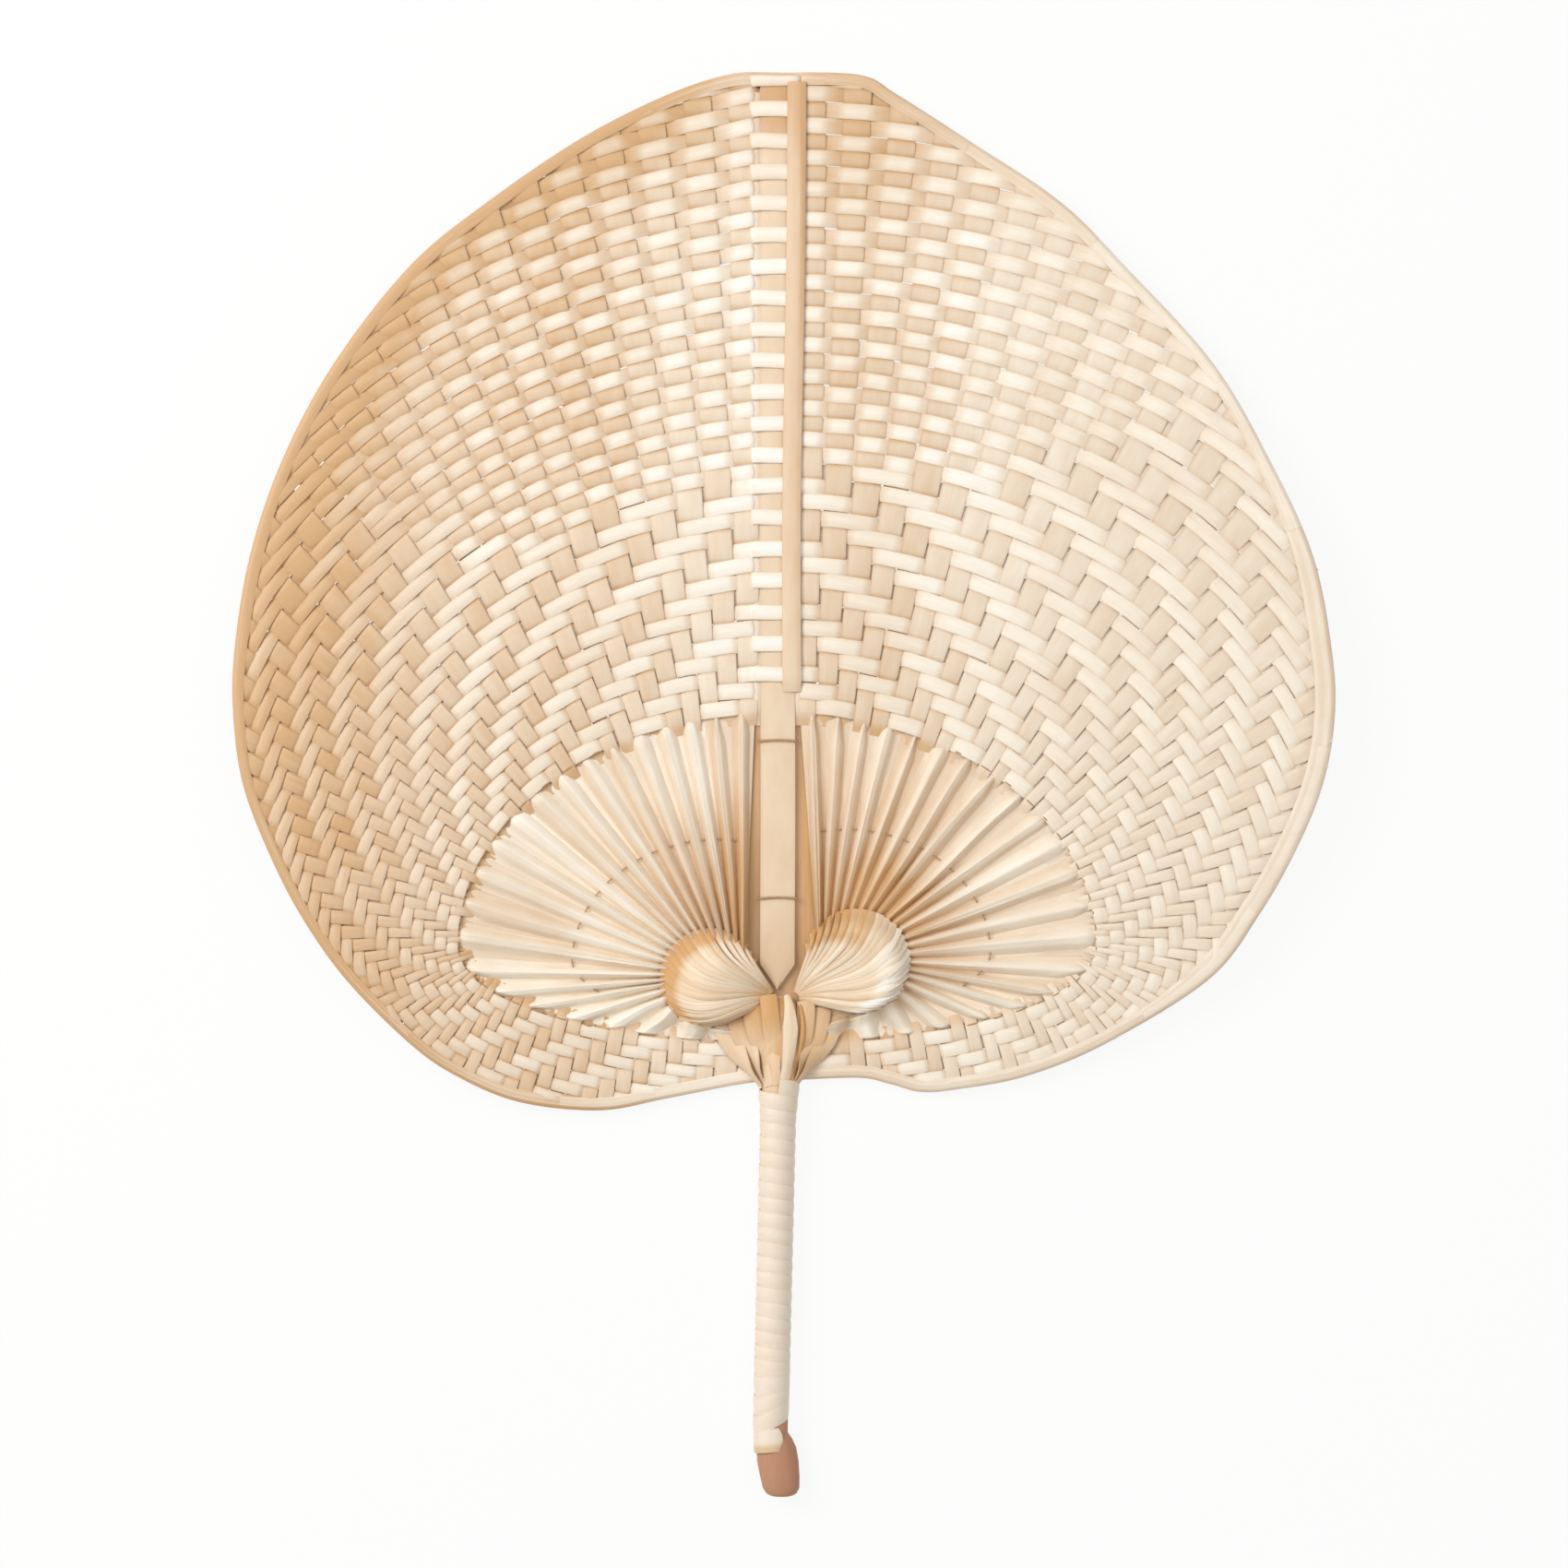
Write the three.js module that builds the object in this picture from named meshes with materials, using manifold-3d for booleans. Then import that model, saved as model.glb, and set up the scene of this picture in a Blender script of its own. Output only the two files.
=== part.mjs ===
// A heart-shaped hand fan woven from the strips of one palm leaf, lying flat on its back.
// Millimetres. +Z is up, out of the fan's face, and +Y runs along the spine to the tip.
// The origin is on the back of the spine, level with the two bosses that the ribs spring from.
import * as THREE from 'three';
import Module from 'manifold-3d';

const wasm = await Module();
wasm.setup();

// Driving sizes of the blade
const bladeHalfWidth = 153.5;
const bladeTop = 252;
const lobeDrop = 39.5;
const dishRise = 12;
const sheetThick = 1.4;
const fitGap = 0.3;
const hiddenRun = 1;

// The unwoven middle, bounded by half ellipses above and below its widest line
const innerHalfWidth = 88.8;
const innerRise = 65.2;
const innerCentreY = 7.2;
const neckSlitHalf = 8;

// The spine: two split slats with the weave gripped between them
const slatHalfWidth = 4.85;
const slatThick = 1.6;
const slatEdgeRound = 0.35;
const slatPointLength = 7;
const slatPointY = -5;
const slatTopY = 250.5;
const backHalfWidth = 7;
const backLowY = -10;
const spineSlit = 1.5;

// The ribs: leaf strips folded lengthwise, steep at the boss and opening towards the weave
const ribCount = 22;
const ribFoldAtBoss = 4.2;
const ribFoldAtWeave = 1.4;
const ribThick = 0.5;
const ribSpacingShare = 0.74;
const ribFoldPower = 1.6;
const ribLean = THREE.MathUtils.degToRad(38);
const ribStationShares = [0, 0.12, 0.3, 0.62, 1];

// The bosses: humps of strips that fan out of the neck
const bossLeft = { x: -19.2, y: -1.6, radius: 13.6 };
const bossRight = { x: 22.2, y: 3, radius: 14.4 };
const bossHeight = 8.6;
const bossEdgeHeight = 1.6;
const tailRun = 2;
const tailTip = { x: 8.8, y: bossLeft.y - bossLeft.radius - tailRun };
const tailCut = 2.4;
const fluteDepth = 0.8;
const fluteCount = 11;
const bossStationShares = [0, 0.12, 0.26, 0.42, 0.58, 0.74, 0.87, 0.95, 1];
const bossSpreadShare = 0.97;

// The weave starts below the lower boss by the run that the lowest ribs need
const lowRibRun = 4.8;
const innerDrop = innerCentreY - bossLeft.y + bossLeft.radius + lowRibRun;

// The handle: the leaf's stalk, wound with a flat strip
const stalkRadius = 4.35;
const gripTopY = -29.6;
const gripBottomY = -129;
const buttEndY = -147;
const gripTopX = 0.5;
const gripBottomX = -1.9;
const wrapThick = 0.5;
const wrapWidth = 3.7;
const wrapPitch = 4.18;
const wrapSteps = 18;
const stalkSides = 16;

// The neck: folds of leaf laid over the head of the stalk
const foldThick = 1.2;
const foldSteps = 5;

// Threads
const tieWidth = 1;
const tieThick = 0.5;
const tieBelowWeave = 7.8;
const tieUpperY = innerCentreY + innerRise - tieBelowWeave;
const tieLowerY = 20.5;
const twineRadius = 0.4;
const twineSides = 6;
const twineAtShare = 0.44;
const twineRibs = 17;

// Hoops of the weave that pass over the front slat
const hoopWidth = 3.6;
const hoopThick = 0.5;
const hoopReach = 3.4;
const hoopTopY = 241.8;
const closeHoopPitch = 9;
const closeHoops = 13;
const openHoopPitch = 16.6;
const openHoops = 3;

const outlineRowShares = [0, 0.25, 0.5, 0.75, 0.94, 0.975, 1];
const outlineThickShares = [1, 1, 1, 1, 1, 1.5, 1.3];

// Half outlines from the tip to the neck: shares of the half width, and of the height above
// the boss line or the drop below it
const outlineLeftShares = [
  [0, 1.0], [0.085, 0.998], [0.2, 0.975], [0.355, 0.927], [0.525, 0.856], [0.667, 0.784],
  [0.804, 0.676], [0.898, 0.568], [0.957, 0.46], [0.985, 0.352], [0.986, 0.28], [0.969, 0.208],
  [0.926, 0.137], [0.867, 0.065], [0.785, -0.046], [0.67, -0.5], [0.584, -0.735],
  [0.47, -0.92], [0.325, -0.98], [0.207, -0.9], [0.089, -0.81], [0.02, -0.77],
];
const outlineRightShares = [
  [0, 1.0], [0.15, 0.997], [0.218, 0.975], [0.34, 0.927], [0.513, 0.856], [0.631, 0.784],
  [0.79, 0.676], [0.893, 0.568], [0.972, 0.46], [1.006, 0.352], [1.01, 0.28], [0.989, 0.208],
  [0.942, 0.137], [0.876, 0.065], [0.785, -0.046], [0.6, -0.5], [0.455, -0.735],
  [0.33, -0.83], [0.262, -0.85], [0.207, -0.795], [0.148, -0.75], [0.02, -0.77],
];

const material = (color, roughness) => new THREE.MeshStandardMaterial({ color, roughness, metalness: 0 });
const straw = material(0xeedcc0, 0.62);
const goldStraw = material(0xe6c79a, 0.6);
const slatWood = material(0xf3dbb9, 0.5);
const stalkWood = material(0xb7805f, 0.7);
const thread = material(0xb08a5c, 0.8);

const part = new THREE.Group();

function add(name, geometry, finish) {
  geometry.computeVertexNormals();
  const mesh = new THREE.Mesh(geometry, finish);
  mesh.name = name;
  part.add(mesh);
}

// A closed body from points and triangles, turned so that its faces point out.
function closedBody(points, faces) {
  const volume = faces.reduce((sum, [a, b, c]) => {
    const cross = new THREE.Vector3().crossVectors(points[b], points[c]);
    return sum + points[a].dot(cross);
  }, 0);
  const turned = volume > 0 ? faces : faces.map(([a, b, c]) => [a, c, b]);
  const geometry = new THREE.BufferGeometry();
  geometry.setAttribute('position', new THREE.Float32BufferAttribute(points.flatMap((p) => p.toArray()), 3));
  geometry.setIndex(turned.flat());
  return geometry;
}

// A body lofted through rings of points. A ring has an even number of points, and each cap is
// closed by a ladder between the ring's two halves.
function loft(rings) {
  const size = rings[0].length;
  const faces = [];
  const quad = (a, b, c, d) => faces.push([a, b, c], [a, c, d]);
  for (let r = 0; r + 1 < rings.length; r += 1) {
    for (let i = 0; i < size; i += 1) {
      const next = (i + 1) % size;
      quad(r * size + i, r * size + next, (r + 1) * size + next, (r + 1) * size + i);
    }
  }
  const last = (rings.length - 1) * size;
  for (let i = 0; i < size / 2 - 1; i += 1) {
    const far = size - 1 - i;
    quad(far, far - 1, i + 1, i);
    quad(last + i, last + i + 1, last + far - 1, last + far);
  }
  return closedBody(rings.flat(), faces);
}

const toSolid = (geometry) => {
  const position = geometry.getAttribute('position');
  const index = geometry.getIndex();
  return new wasm.Manifold(new wasm.Mesh({
    numProp: 3,
    vertProperties: new Float32Array(position.array),
    triVerts: new Uint32Array(index.array),
  }));
};

const fromSolid = (solid) => {
  const mesh = solid.getMesh();
  const geometry = new THREE.BufferGeometry();
  geometry.setAttribute('position', new THREE.BufferAttribute(mesh.vertProperties, 3));
  geometry.setIndex(new THREE.BufferAttribute(mesh.triVerts, 1));
  return geometry;
};

// A block between two corners, as rings along X.
function block(low, high) {
  const ring = (x) => [
    new THREE.Vector3(x, low.y, low.z), new THREE.Vector3(x, high.y, low.z),
    new THREE.Vector3(x, high.y, high.z), new THREE.Vector3(x, low.y, high.z),
  ];
  return loft([ring(low.x), ring(high.x)]);
}

// Heights: the blade is dished, so it rises from the spine towards both sides.
const dish = (x) => dishRise * (x / bladeHalfWidth) ** 2;
const sheetLow = slatThick + fitGap;
const sheetEdgeX = slatHalfWidth + spineSlit;

// The inner edge of the weave, on the left side, at a share of its length from spine to neck.
const innerStart = Math.PI / 2 + Math.asin(sheetEdgeX / innerHalfWidth);
const innerEnd = 1.5 * Math.PI - Math.asin(neckSlitHalf / innerHalfWidth);
const innerPoint = (angle) => {
  const reach = Math.sin(angle) > 0 ? innerRise : innerDrop;
  return new THREE.Vector2(innerHalfWidth * Math.cos(angle), innerCentreY + reach * Math.sin(angle));
};
const innerNormal = (angle) => {
  const reach = Math.sin(angle) > 0 ? innerRise : innerDrop;
  return new THREE.Vector2(Math.cos(angle) / innerHalfWidth, Math.sin(angle) / reach).normalize();
};
const arcSamples = 720;
const roundingSlack = 1e-9;
const arcTable = Array.from({ length: arcSamples + 1 }, (unused, i) =>
  innerStart + (innerEnd - innerStart) * i / arcSamples);
const arcLengths = arcTable.reduce((lengths, angle, i) => {
  const step = i ? innerPoint(angle).distanceTo(innerPoint(arcTable[i - 1])) : 0;
  return [...lengths, step + (i ? lengths[i - 1] : 0)];
}, []);

// The angle on the inner edge for a rib count from the spine; the ribs widen towards the neck.
function innerAngle(ribs) {
  const share = ribs / ribCount;
  const along = ribSpacingShare * share + (1 - ribSpacingShare) * share * share;
  const wanted = along * arcLengths[arcSamples];
  const i = Math.max(1, arcLengths.findIndex((length) => length >= wanted * (1 - roundingSlack)));
  const between = (wanted - arcLengths[i - 1]) / (arcLengths[i] - arcLengths[i - 1]);
  return arcTable[i - 1] + between * (arcTable[i] - arcTable[i - 1]);
}

// The outline of the left half as a smooth line; the right half is drawn as its mirror image.
const outlineSamples = 400;
function outlineOf(shares) {
  const points = shares.map(([across, along]) => new THREE.Vector2(
    -across * bladeHalfWidth, along * (along > 0 ? bladeTop : lobeDrop)));
  return new THREE.SplineCurve(points).getPoints(outlineSamples);
}

// Where a line from a point meets the outline.
function reachOutline(outline, from, heading) {
  let best = null;
  for (let i = 0; i + 1 < outline.length; i += 1) {
    const edge = outline[i + 1].clone().sub(outline[i]);
    const gap = outline[i].clone().sub(from);
    const across = heading.cross(edge);
    const along = gap.cross(edge) / across;
    const onEdge = gap.cross(heading) / across;
    if (along > 0 && onEdge >= 0 && onEdge <= 1 && (best === null || along < best)) best = along;
  }
  return from.clone().addScaledVector(heading, best);
}

// The weave of one half: a thin dished sheet in columns that continue the ribs, with the
// strips folded back into a thicker rim, and every second hoop passing over the front slat.
function wovenBlade(side, outline, hoopHeights) {
  const startTilt = Math.PI / 2 - innerNormal(innerStart).angle();
  const columns = [];
  for (let half = 0; half <= 2 * ribCount; half += 1) {
    const ribs = half / 2;
    const angle = innerAngle(ribs);
    const inner = innerPoint(angle);
    const normal = innerNormal(angle);
    normal.rotateAround(new THREE.Vector2(), startTilt * (1 - ribs / ribCount));
    const outer = reachOutline(outline, inner, normal);
    const top = [];
    const low = [];
    outlineRowShares.forEach((share, row) => {
      const at = inner.clone().lerp(outer, share);
      const base = sheetLow + dish(at.x);
      const extra = sheetThick * (outlineThickShares[row] - 1);
      low.push(new THREE.Vector3(side * -at.x, at.y, base));
      top.push(new THREE.Vector3(side * -at.x, at.y, base + sheetThick + extra));
    });
    columns.push([...top, ...low.reverse()]);
  }
  let solid = toSolid(loft(columns));
  const overSlat = sheetLow + slatThick + fitGap;
  hoopHeights.forEach((y) => {
    const ownEdge = side * (sheetEdgeX + hoopReach);
    const farEdge = -side * (sheetEdgeX + hoopReach);
    const bar = block(
      new THREE.Vector3(Math.min(ownEdge, farEdge), y - hoopWidth / 2, overSlat),
      new THREE.Vector3(Math.max(ownEdge, farEdge), y + hoopWidth / 2, overSlat + hoopThick));
    const footIn = side * (sheetEdgeX + hoopThick);
    const foot = block(
      new THREE.Vector3(Math.min(ownEdge, footIn), y - hoopWidth / 2, sheetLow + sheetThick / 2),
      new THREE.Vector3(Math.max(ownEdge, footIn), y + hoopWidth / 2, overSlat + hoopThick));
    solid = solid.add(toSolid(bar)).add(toSolid(foot));
  });
  return fromSolid(solid);
}

// The plan outline of a boss: a circle drawn out to a tail at the neck. The angle is measured
// at the circle's centre, and the answer is the distance to the edge.
function bossPlan(boss, side) {
  const centre = new THREE.Vector2(boss.x, boss.y);
  const tip = new THREE.Vector2(side * tailTip.x, tailTip.y);
  const away = centre.clone().sub(tip);
  const distance = away.length();
  const spread = Math.asin(boss.radius / distance);
  return { centre, tip, away: away.angle(), distance, spread, radius: boss.radius };
}

function bossReach(plan, heading) {
  let turn = heading - plan.away;
  turn = Math.atan2(Math.sin(turn), Math.cos(turn));
  const tangent = Math.PI / 2 + plan.spread;
  const past = Math.max(0, Math.abs(turn) - tangent);
  return plan.radius / Math.cos(past);
}

// A boss: flutes that leave the neck together, climb over the hump and dive at its far edge.
function boss(plan) {
  const rings = [];
  for (let step = 0; step <= 2 * fluteCount; step += 1) {
    const share = step / fluteCount - 1;
    const turn = share * plan.spread * bossSpreadShare;
    const heading = new THREE.Vector2(1, 0).rotateAround(new THREE.Vector2(), plan.away + turn);
    const half = Math.sqrt(plan.radius ** 2 - (plan.distance * Math.sin(turn)) ** 2);
    const far = plan.distance * Math.cos(turn) + half;
    const near = tailCut;
    const top = [];
    const low = [];
    bossStationShares.forEach((along) => {
      const at = plan.tip.clone().addScaledVector(heading, near + (far - near) * along);
      const reach = bossReach(plan, at.clone().sub(plan.centre).angle());
      const out = Math.min(1, at.distanceTo(plan.centre) / reach);
      const hump = Math.sqrt(1 - out ** 2) * (1 - out * out / 3);
      const flute = (step % 2 ? 1 : -1) * fluteDepth * Math.min(1, 2 * (1 - out)) / 2;
      const base = sheetLow + dish(at.x);
      low.push(new THREE.Vector3(at.x, at.y, base));
      top.push(new THREE.Vector3(at.x, at.y, base + bossEdgeHeight + bossHeight * hump + flute));
    });
    rings.push([...top, ...low.reverse()]);
  }
  return loft(rings);
}

// A point of the rib bundle in plan: ribs counted from the spine, and the share of the way
// from the boss to the weave. The ribs spring from the boss radially, but those next to the
// spine leave it lower down and run up beside the slat. Worked out on the left side and
// mirrored for the right.
function bundlePoint(plan, ribs, share) {
  const angle = innerAngle(ribs);
  const inner = innerPoint(angle);
  const lean = ribLean * (1 - ribs / ribCount) ** 3;
  const heading = inner.clone().sub(plan.centre).angle() - lean;
  const unit = new THREE.Vector2(1, 0).rotateAround(new THREE.Vector2(), heading);
  const start = plan.centre.clone().addScaledVector(unit, bossReach(plan, heading) + fitGap);
  const run = inner.clone().sub(start).normalize();
  const end = inner.clone().addScaledVector(run, -fitGap / run.dot(innerNormal(angle)));
  return start.lerp(end, share);
}

// The height of a rib's fold at a share of its length.
const foldHeight = (share) =>
  ribFoldAtWeave + (ribFoldAtBoss - ribFoldAtWeave) * (1 - share) ** ribFoldPower;

const mirrored = (boss) => ({ ...boss, x: -Math.abs(boss.x) });

// One folded strip: a roof-shaped section whose walls keep the strip's thickness.
function rib(plan, number, side) {
  const rings = ribStationShares.map((share) => {
    const before = bundlePoint(plan, number, share);
    const after = bundlePoint(plan, number + 1, share);
    const middle = bundlePoint(plan, number + 0.5, share);
    const width = before.distanceTo(after);
    const inset = fitGap / 2 / width;
    const near = before.clone().lerp(after, inset);
    const far = before.clone().lerp(after, 1 - inset);
    const height = foldHeight(share);
    const steep = ribThick * Math.hypot(1, 2 * height / width);
    const place = (at, z) => new THREE.Vector3(side * -at.x, at.y, sheetLow + dish(at.x) + z);
    const underside = Math.max(ribThick / 2, ribThick + height - steep);
    return [
      place(near, ribThick), place(middle, ribThick + height), place(far, ribThick),
      place(far, 0), place(middle, underside), place(near, 0),
    ];
  });
  return loft(rings);
}

// A thread laid across the ribs from ridge to ridge.
function twine(plan, side) {
  const rings = [];
  const centreOf = (number) => {
    const at = bundlePoint(plan, number + 0.5, twineAtShare);
    const top = sheetLow + dish(at.x) + ribThick + foldHeight(twineAtShare);
    return new THREE.Vector3(side * -at.x, at.y, top + fitGap + twineRadius);
  };
  for (let number = 0; number < twineRibs; number += 1) {
    const centre = centreOf(number);
    const ahead = centreOf(Math.min(number + 1, twineRibs - 1)).sub(centreOf(Math.max(number - 1, 0)));
    const across = new THREE.Vector3(-ahead.y, ahead.x, 0).normalize();
    const ring = [];
    for (let i = 0; i < twineSides; i += 1) {
      const turn = 2 * Math.PI * i / twineSides;
      ring.push(centre.clone().addScaledVector(across, twineRadius * Math.cos(turn))
        .add(new THREE.Vector3(0, 0, twineRadius * Math.sin(turn))));
    }
    rings.push(ring);
  }
  return loft(rings);
}

// The front slat: a flat strip of split cane with eased edges and a pointed lower end.
function frontSlat() {
  const shoulder = slatPointY + slatPointLength;
  const inX = slatHalfWidth - slatEdgeRound;
  const shape = new THREE.Shape([
    new THREE.Vector2(0, slatPointY + slatEdgeRound), new THREE.Vector2(inX, shoulder),
    new THREE.Vector2(inX, slatTopY - slatEdgeRound), new THREE.Vector2(-inX, slatTopY - slatEdgeRound),
    new THREE.Vector2(-inX, shoulder),
  ]);
  const geometry = new THREE.ExtrudeGeometry(shape, {
    depth: slatThick - 2 * slatEdgeRound,
    bevelThickness: slatEdgeRound,
    bevelSize: slatEdgeRound,
    bevelSegments: 1,
  });
  return geometry.translate(0, 0, sheetLow + slatEdgeRound);
}

// The back slat, wider, with a slot pair and a groove for each thread tie.
function backSlat() {
  let solid = toSolid(block(
    new THREE.Vector3(-backHalfWidth, backLowY, 0), new THREE.Vector3(backHalfWidth, slatTopY, slatThick)));
  const inside = slatHalfWidth;
  const outside = slatHalfWidth + 2 * fitGap + tieThick;
  const grooveTop = tieThick + 2 * fitGap;
  [tieLowerY, tieUpperY].forEach((y) => {
    const half = tieWidth / 2 + fitGap;
    const cuts = [[-outside, outside, grooveTop], [-outside, -inside, slatThick + hiddenRun],
      [inside, outside, slatThick + hiddenRun]];
    cuts.forEach(([fromX, toX, top]) => {
      const low = new THREE.Vector3(fromX, y - half, -hiddenRun);
      solid = solid.subtract(toSolid(block(low, new THREE.Vector3(toX, y + half, top))));
    });
  });
  return fromSolid(solid);
}

// A thread tied round both slats.
function spineTie(y) {
  const inX = slatHalfWidth + fitGap;
  const low = fitGap;
  const high = sheetLow + slatThick + fitGap;
  const rectangle = (grow) => {
    const foot = low + tieThick - grow;
    return [[-inX - grow, foot], [inX + grow, foot], [inX + grow, high + grow], [-inX - grow, high + grow]]
      .map(([x, z]) => new THREE.Vector2(x, z));
  };
  const shape = new THREE.Shape(rectangle(tieThick));
  shape.holes.push(new THREE.Path(rectangle(0)));
  const geometry = new THREE.ExtrudeGeometry(shape, { depth: tieWidth, bevelEnabled: false });
  return geometry.rotateX(Math.PI / 2).translate(0, y + tieWidth / 2, 0);
}

// The stalk's axis in plan, leaning a little to the left as it goes down.
const gripAxisX = (y) => gripTopX + (gripBottomX - gripTopX) * (gripTopY - y) / (gripTopY - gripBottomY);
const gripAxisZ = stalkRadius + fitGap + wrapThick;

// Stations of the stalk from the head to the butt. The head flattens and spreads under the
// neck; the butt flares to its slanted cut. Shares of the stalk's radius and neck length.
const neckLength = gripTopY - backLowY;
const buttLength = gripBottomY - buttEndY;
const headShares = [[0, 1.16, 0.4], [0.08, 1.24, 0.56], [0.42, 1.3, 0.74], [0.78, 1.12, 0.92], [1, 1, 1]];
const buttShares = [
  [0, 1, 1, 0], [0.08, 1.18, 1.05, 0.3], [0.3, 1.33, 1.08, 0.6], [0.62, 1.33, 1.05, 0.85],
  [0.84, 1.04, 0.92, 1], [0.95, 0.64, 0.7, 1.1], [1, 0.3, 0.4, 1.1],
];
const buttDrift = 1.8;

function stalkStation(y, x, halfWidth, halfHeight, z) {
  const ring = [];
  for (let i = 0; i < stalkSides; i += 1) {
    const turn = 2 * Math.PI * i / stalkSides;
    ring.push(new THREE.Vector3(x + halfWidth * Math.cos(turn), y, z + halfHeight * Math.sin(turn)));
  }
  return ring;
}

// The size and place of the head at a share of its length from its top to the grip.
const headZAtTop = 3.9;
function headAt(share) {
  const next = Math.max(1, headShares.findIndex(([at]) => at >= share));
  const [at0, wide0, tall0] = headShares[next - 1];
  const [at1, wide1, tall1] = headShares[next];
  const part = (share - at0) / (at1 - at0);
  return {
    y: backLowY - fitGap + (neckLength + fitGap) * share,
    x: gripTopX * share,
    halfWidth: stalkRadius * THREE.MathUtils.lerp(wide0, wide1, part),
    halfHeight: stalkRadius * THREE.MathUtils.lerp(tall0, tall1, part),
    z: THREE.MathUtils.lerp(headZAtTop, gripAxisZ, share),
  };
}

function stalk() {
  const rings = headShares.map(([share]) => {
    const at = headAt(share);
    return stalkStation(at.y, at.x, at.halfWidth, at.halfHeight, at.z);
  });
  buttShares.forEach(([share, wide, tall, drift]) => {
    const y = gripBottomY - buttLength * share;
    rings.push(stalkStation(
      y, gripAxisX(y) + buttDrift * drift, stalkRadius * wide, stalkRadius * tall, gripAxisZ));
  });
  return loft(rings);
}

// A fold of leaf over one side of the stalk's head, thick at the crown of the neck. The two
// meet a little to the right of the middle, so the left one is the broader.
const foldShares = [0.06, 0.22, 0.42, 0.62, 0.82, 0.96];
const foldCrown = THREE.MathUtils.degToRad(3);
const foldSeam = THREE.MathUtils.degToRad(11);
const foldSideTurn = THREE.MathUtils.degToRad(107);
function neckFold(side) {
  const rings = foldShares.map((share) => {
    const at = headAt(share);
    const outer = [];
    const inner = [];
    for (let i = 0; i <= foldSteps; i += 1) {
      const sweep = foldSideTurn - foldCrown - side * foldSeam;
      const turn = Math.PI / 2 - foldSeam - side * (foldCrown + sweep * i / foldSteps);
      const ring = (grow) => new THREE.Vector3(
        at.x + (at.halfWidth + grow) * Math.cos(turn), at.y, at.z + (at.halfHeight + grow) * Math.sin(turn));
      outer.push(ring(fitGap + foldThick));
      inner.push(ring(fitGap));
    }
    return [...outer, ...inner.reverse()];
  });
  return loft(rings);
}

// The grip's winding: one flat strip wound down the stalk in open turns.
const wrapInner = stalkRadius + fitGap;
function gripWinding() {
  const length = gripTopY - gripBottomY - wrapWidth - fitGap;
  const turns = Math.floor(length / wrapPitch * wrapSteps) / wrapSteps;
  const steps = Math.round(turns * wrapSteps);
  const lean = wrapPitch / (2 * Math.PI * wrapInner);
  const rings = [];
  const ringAt = (turn, slide) => {
    const down = gripTopY - fitGap - wrapWidth / 2 - wrapPitch * turn / (2 * Math.PI);
    const outward = new THREE.Vector3(Math.sin(turn), 0, Math.cos(turn));
    const along = new THREE.Vector3(Math.cos(turn), -lean, -Math.sin(turn)).normalize();
    const across = new THREE.Vector3().crossVectors(along, outward).normalize();
    const centre = new THREE.Vector3(gripAxisX(down), down, gripAxisZ).addScaledVector(along, slide);
    const corner = (radius, shift) => centre.clone()
      .addScaledVector(outward, radius).addScaledVector(across, shift);
    return [
      corner(wrapInner, -wrapWidth / 2), corner(wrapInner + wrapThick, -wrapWidth / 2),
      corner(wrapInner + wrapThick, wrapWidth / 2), corner(wrapInner, wrapWidth / 2),
    ];
  };
  rings.push(ringAt(0, -wrapThick));
  for (let step = 0; step <= steps; step += 1) rings.push(ringAt(2 * Math.PI * step / wrapSteps, 0));
  rings.push(ringAt(2 * Math.PI * steps / wrapSteps, wrapThick));
  const line = new THREE.Line3();
  const foot = new THREE.Vector3();
  let least = Infinity;
  for (let i = 0; i < rings.length; i += 1) {
    for (let j = i + wrapSteps / 2; j + 1 < rings.length; j += 1) {
      rings[i].forEach((point) => rings[j].forEach((start, corner) => {
        line.set(start, rings[j + 1][corner]).closestPointToPoint(point, true, foot);
        least = Math.min(least, point.distanceTo(foot));
      }));
    }
  }
  console.log(`grip winding: ${turns.toFixed(1)} turns, least gap to itself ${least.toFixed(2)} mm`);
  return loft(rings);
}

const hoopHeights = [];
for (let i = 0; i < closeHoops; i += 1) hoopHeights.push(hoopTopY - closeHoopPitch * i);
for (let i = 1; i <= openHoops; i += 1) {
  hoopHeights.push(hoopTopY - closeHoopPitch * (closeHoops - 1) - openHoopPitch * i);
}

const halves = [
  { name: 'left', side: -1, boss: bossLeft, outline: outlineLeftShares, parity: 0 },
  { name: 'right', side: 1, boss: bossRight, outline: outlineRightShares, parity: 1 },
];

halves.forEach((half) => {
  const ownHoops = hoopHeights.filter((y, i) => i % 2 === half.parity);
  add(`woven_blade_${half.name}`, wovenBlade(half.side, outlineOf(half.outline), ownHoops), straw);
  add(`boss_${half.name}`, boss(bossPlan(half.boss, half.side)), goldStraw);
  const planAsLeft = bossPlan(mirrored(half.boss), -1);
  for (let number = 0; number < ribCount; number += 1) {
    const label = String(number + 1).padStart(2, '0');
    add(`rib_${half.name}_${label}`, rib(planAsLeft, number, half.side), straw);
  }
  add(`twine_${half.name}`, twine(planAsLeft, half.side), thread);
  add(`neck_fold_${half.name}`, neckFold(half.side), goldStraw);
});

add('spine_slat_front', frontSlat(), slatWood);
add('spine_slat_back', backSlat(), slatWood);
add('spine_tie_upper', spineTie(tieUpperY), thread);
add('spine_tie_lower', spineTie(tieLowerY), thread);
add('handle_stalk', stalk(), stalkWood);
add('handle_winding', gripWinding(), straw);

export default part;
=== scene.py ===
# A heart-shaped hand fan woven from palm leaf strips, lying flat on its back.
# Lengths are in millimetres until a mesh is written, which is in metres.
import math
import random

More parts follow.
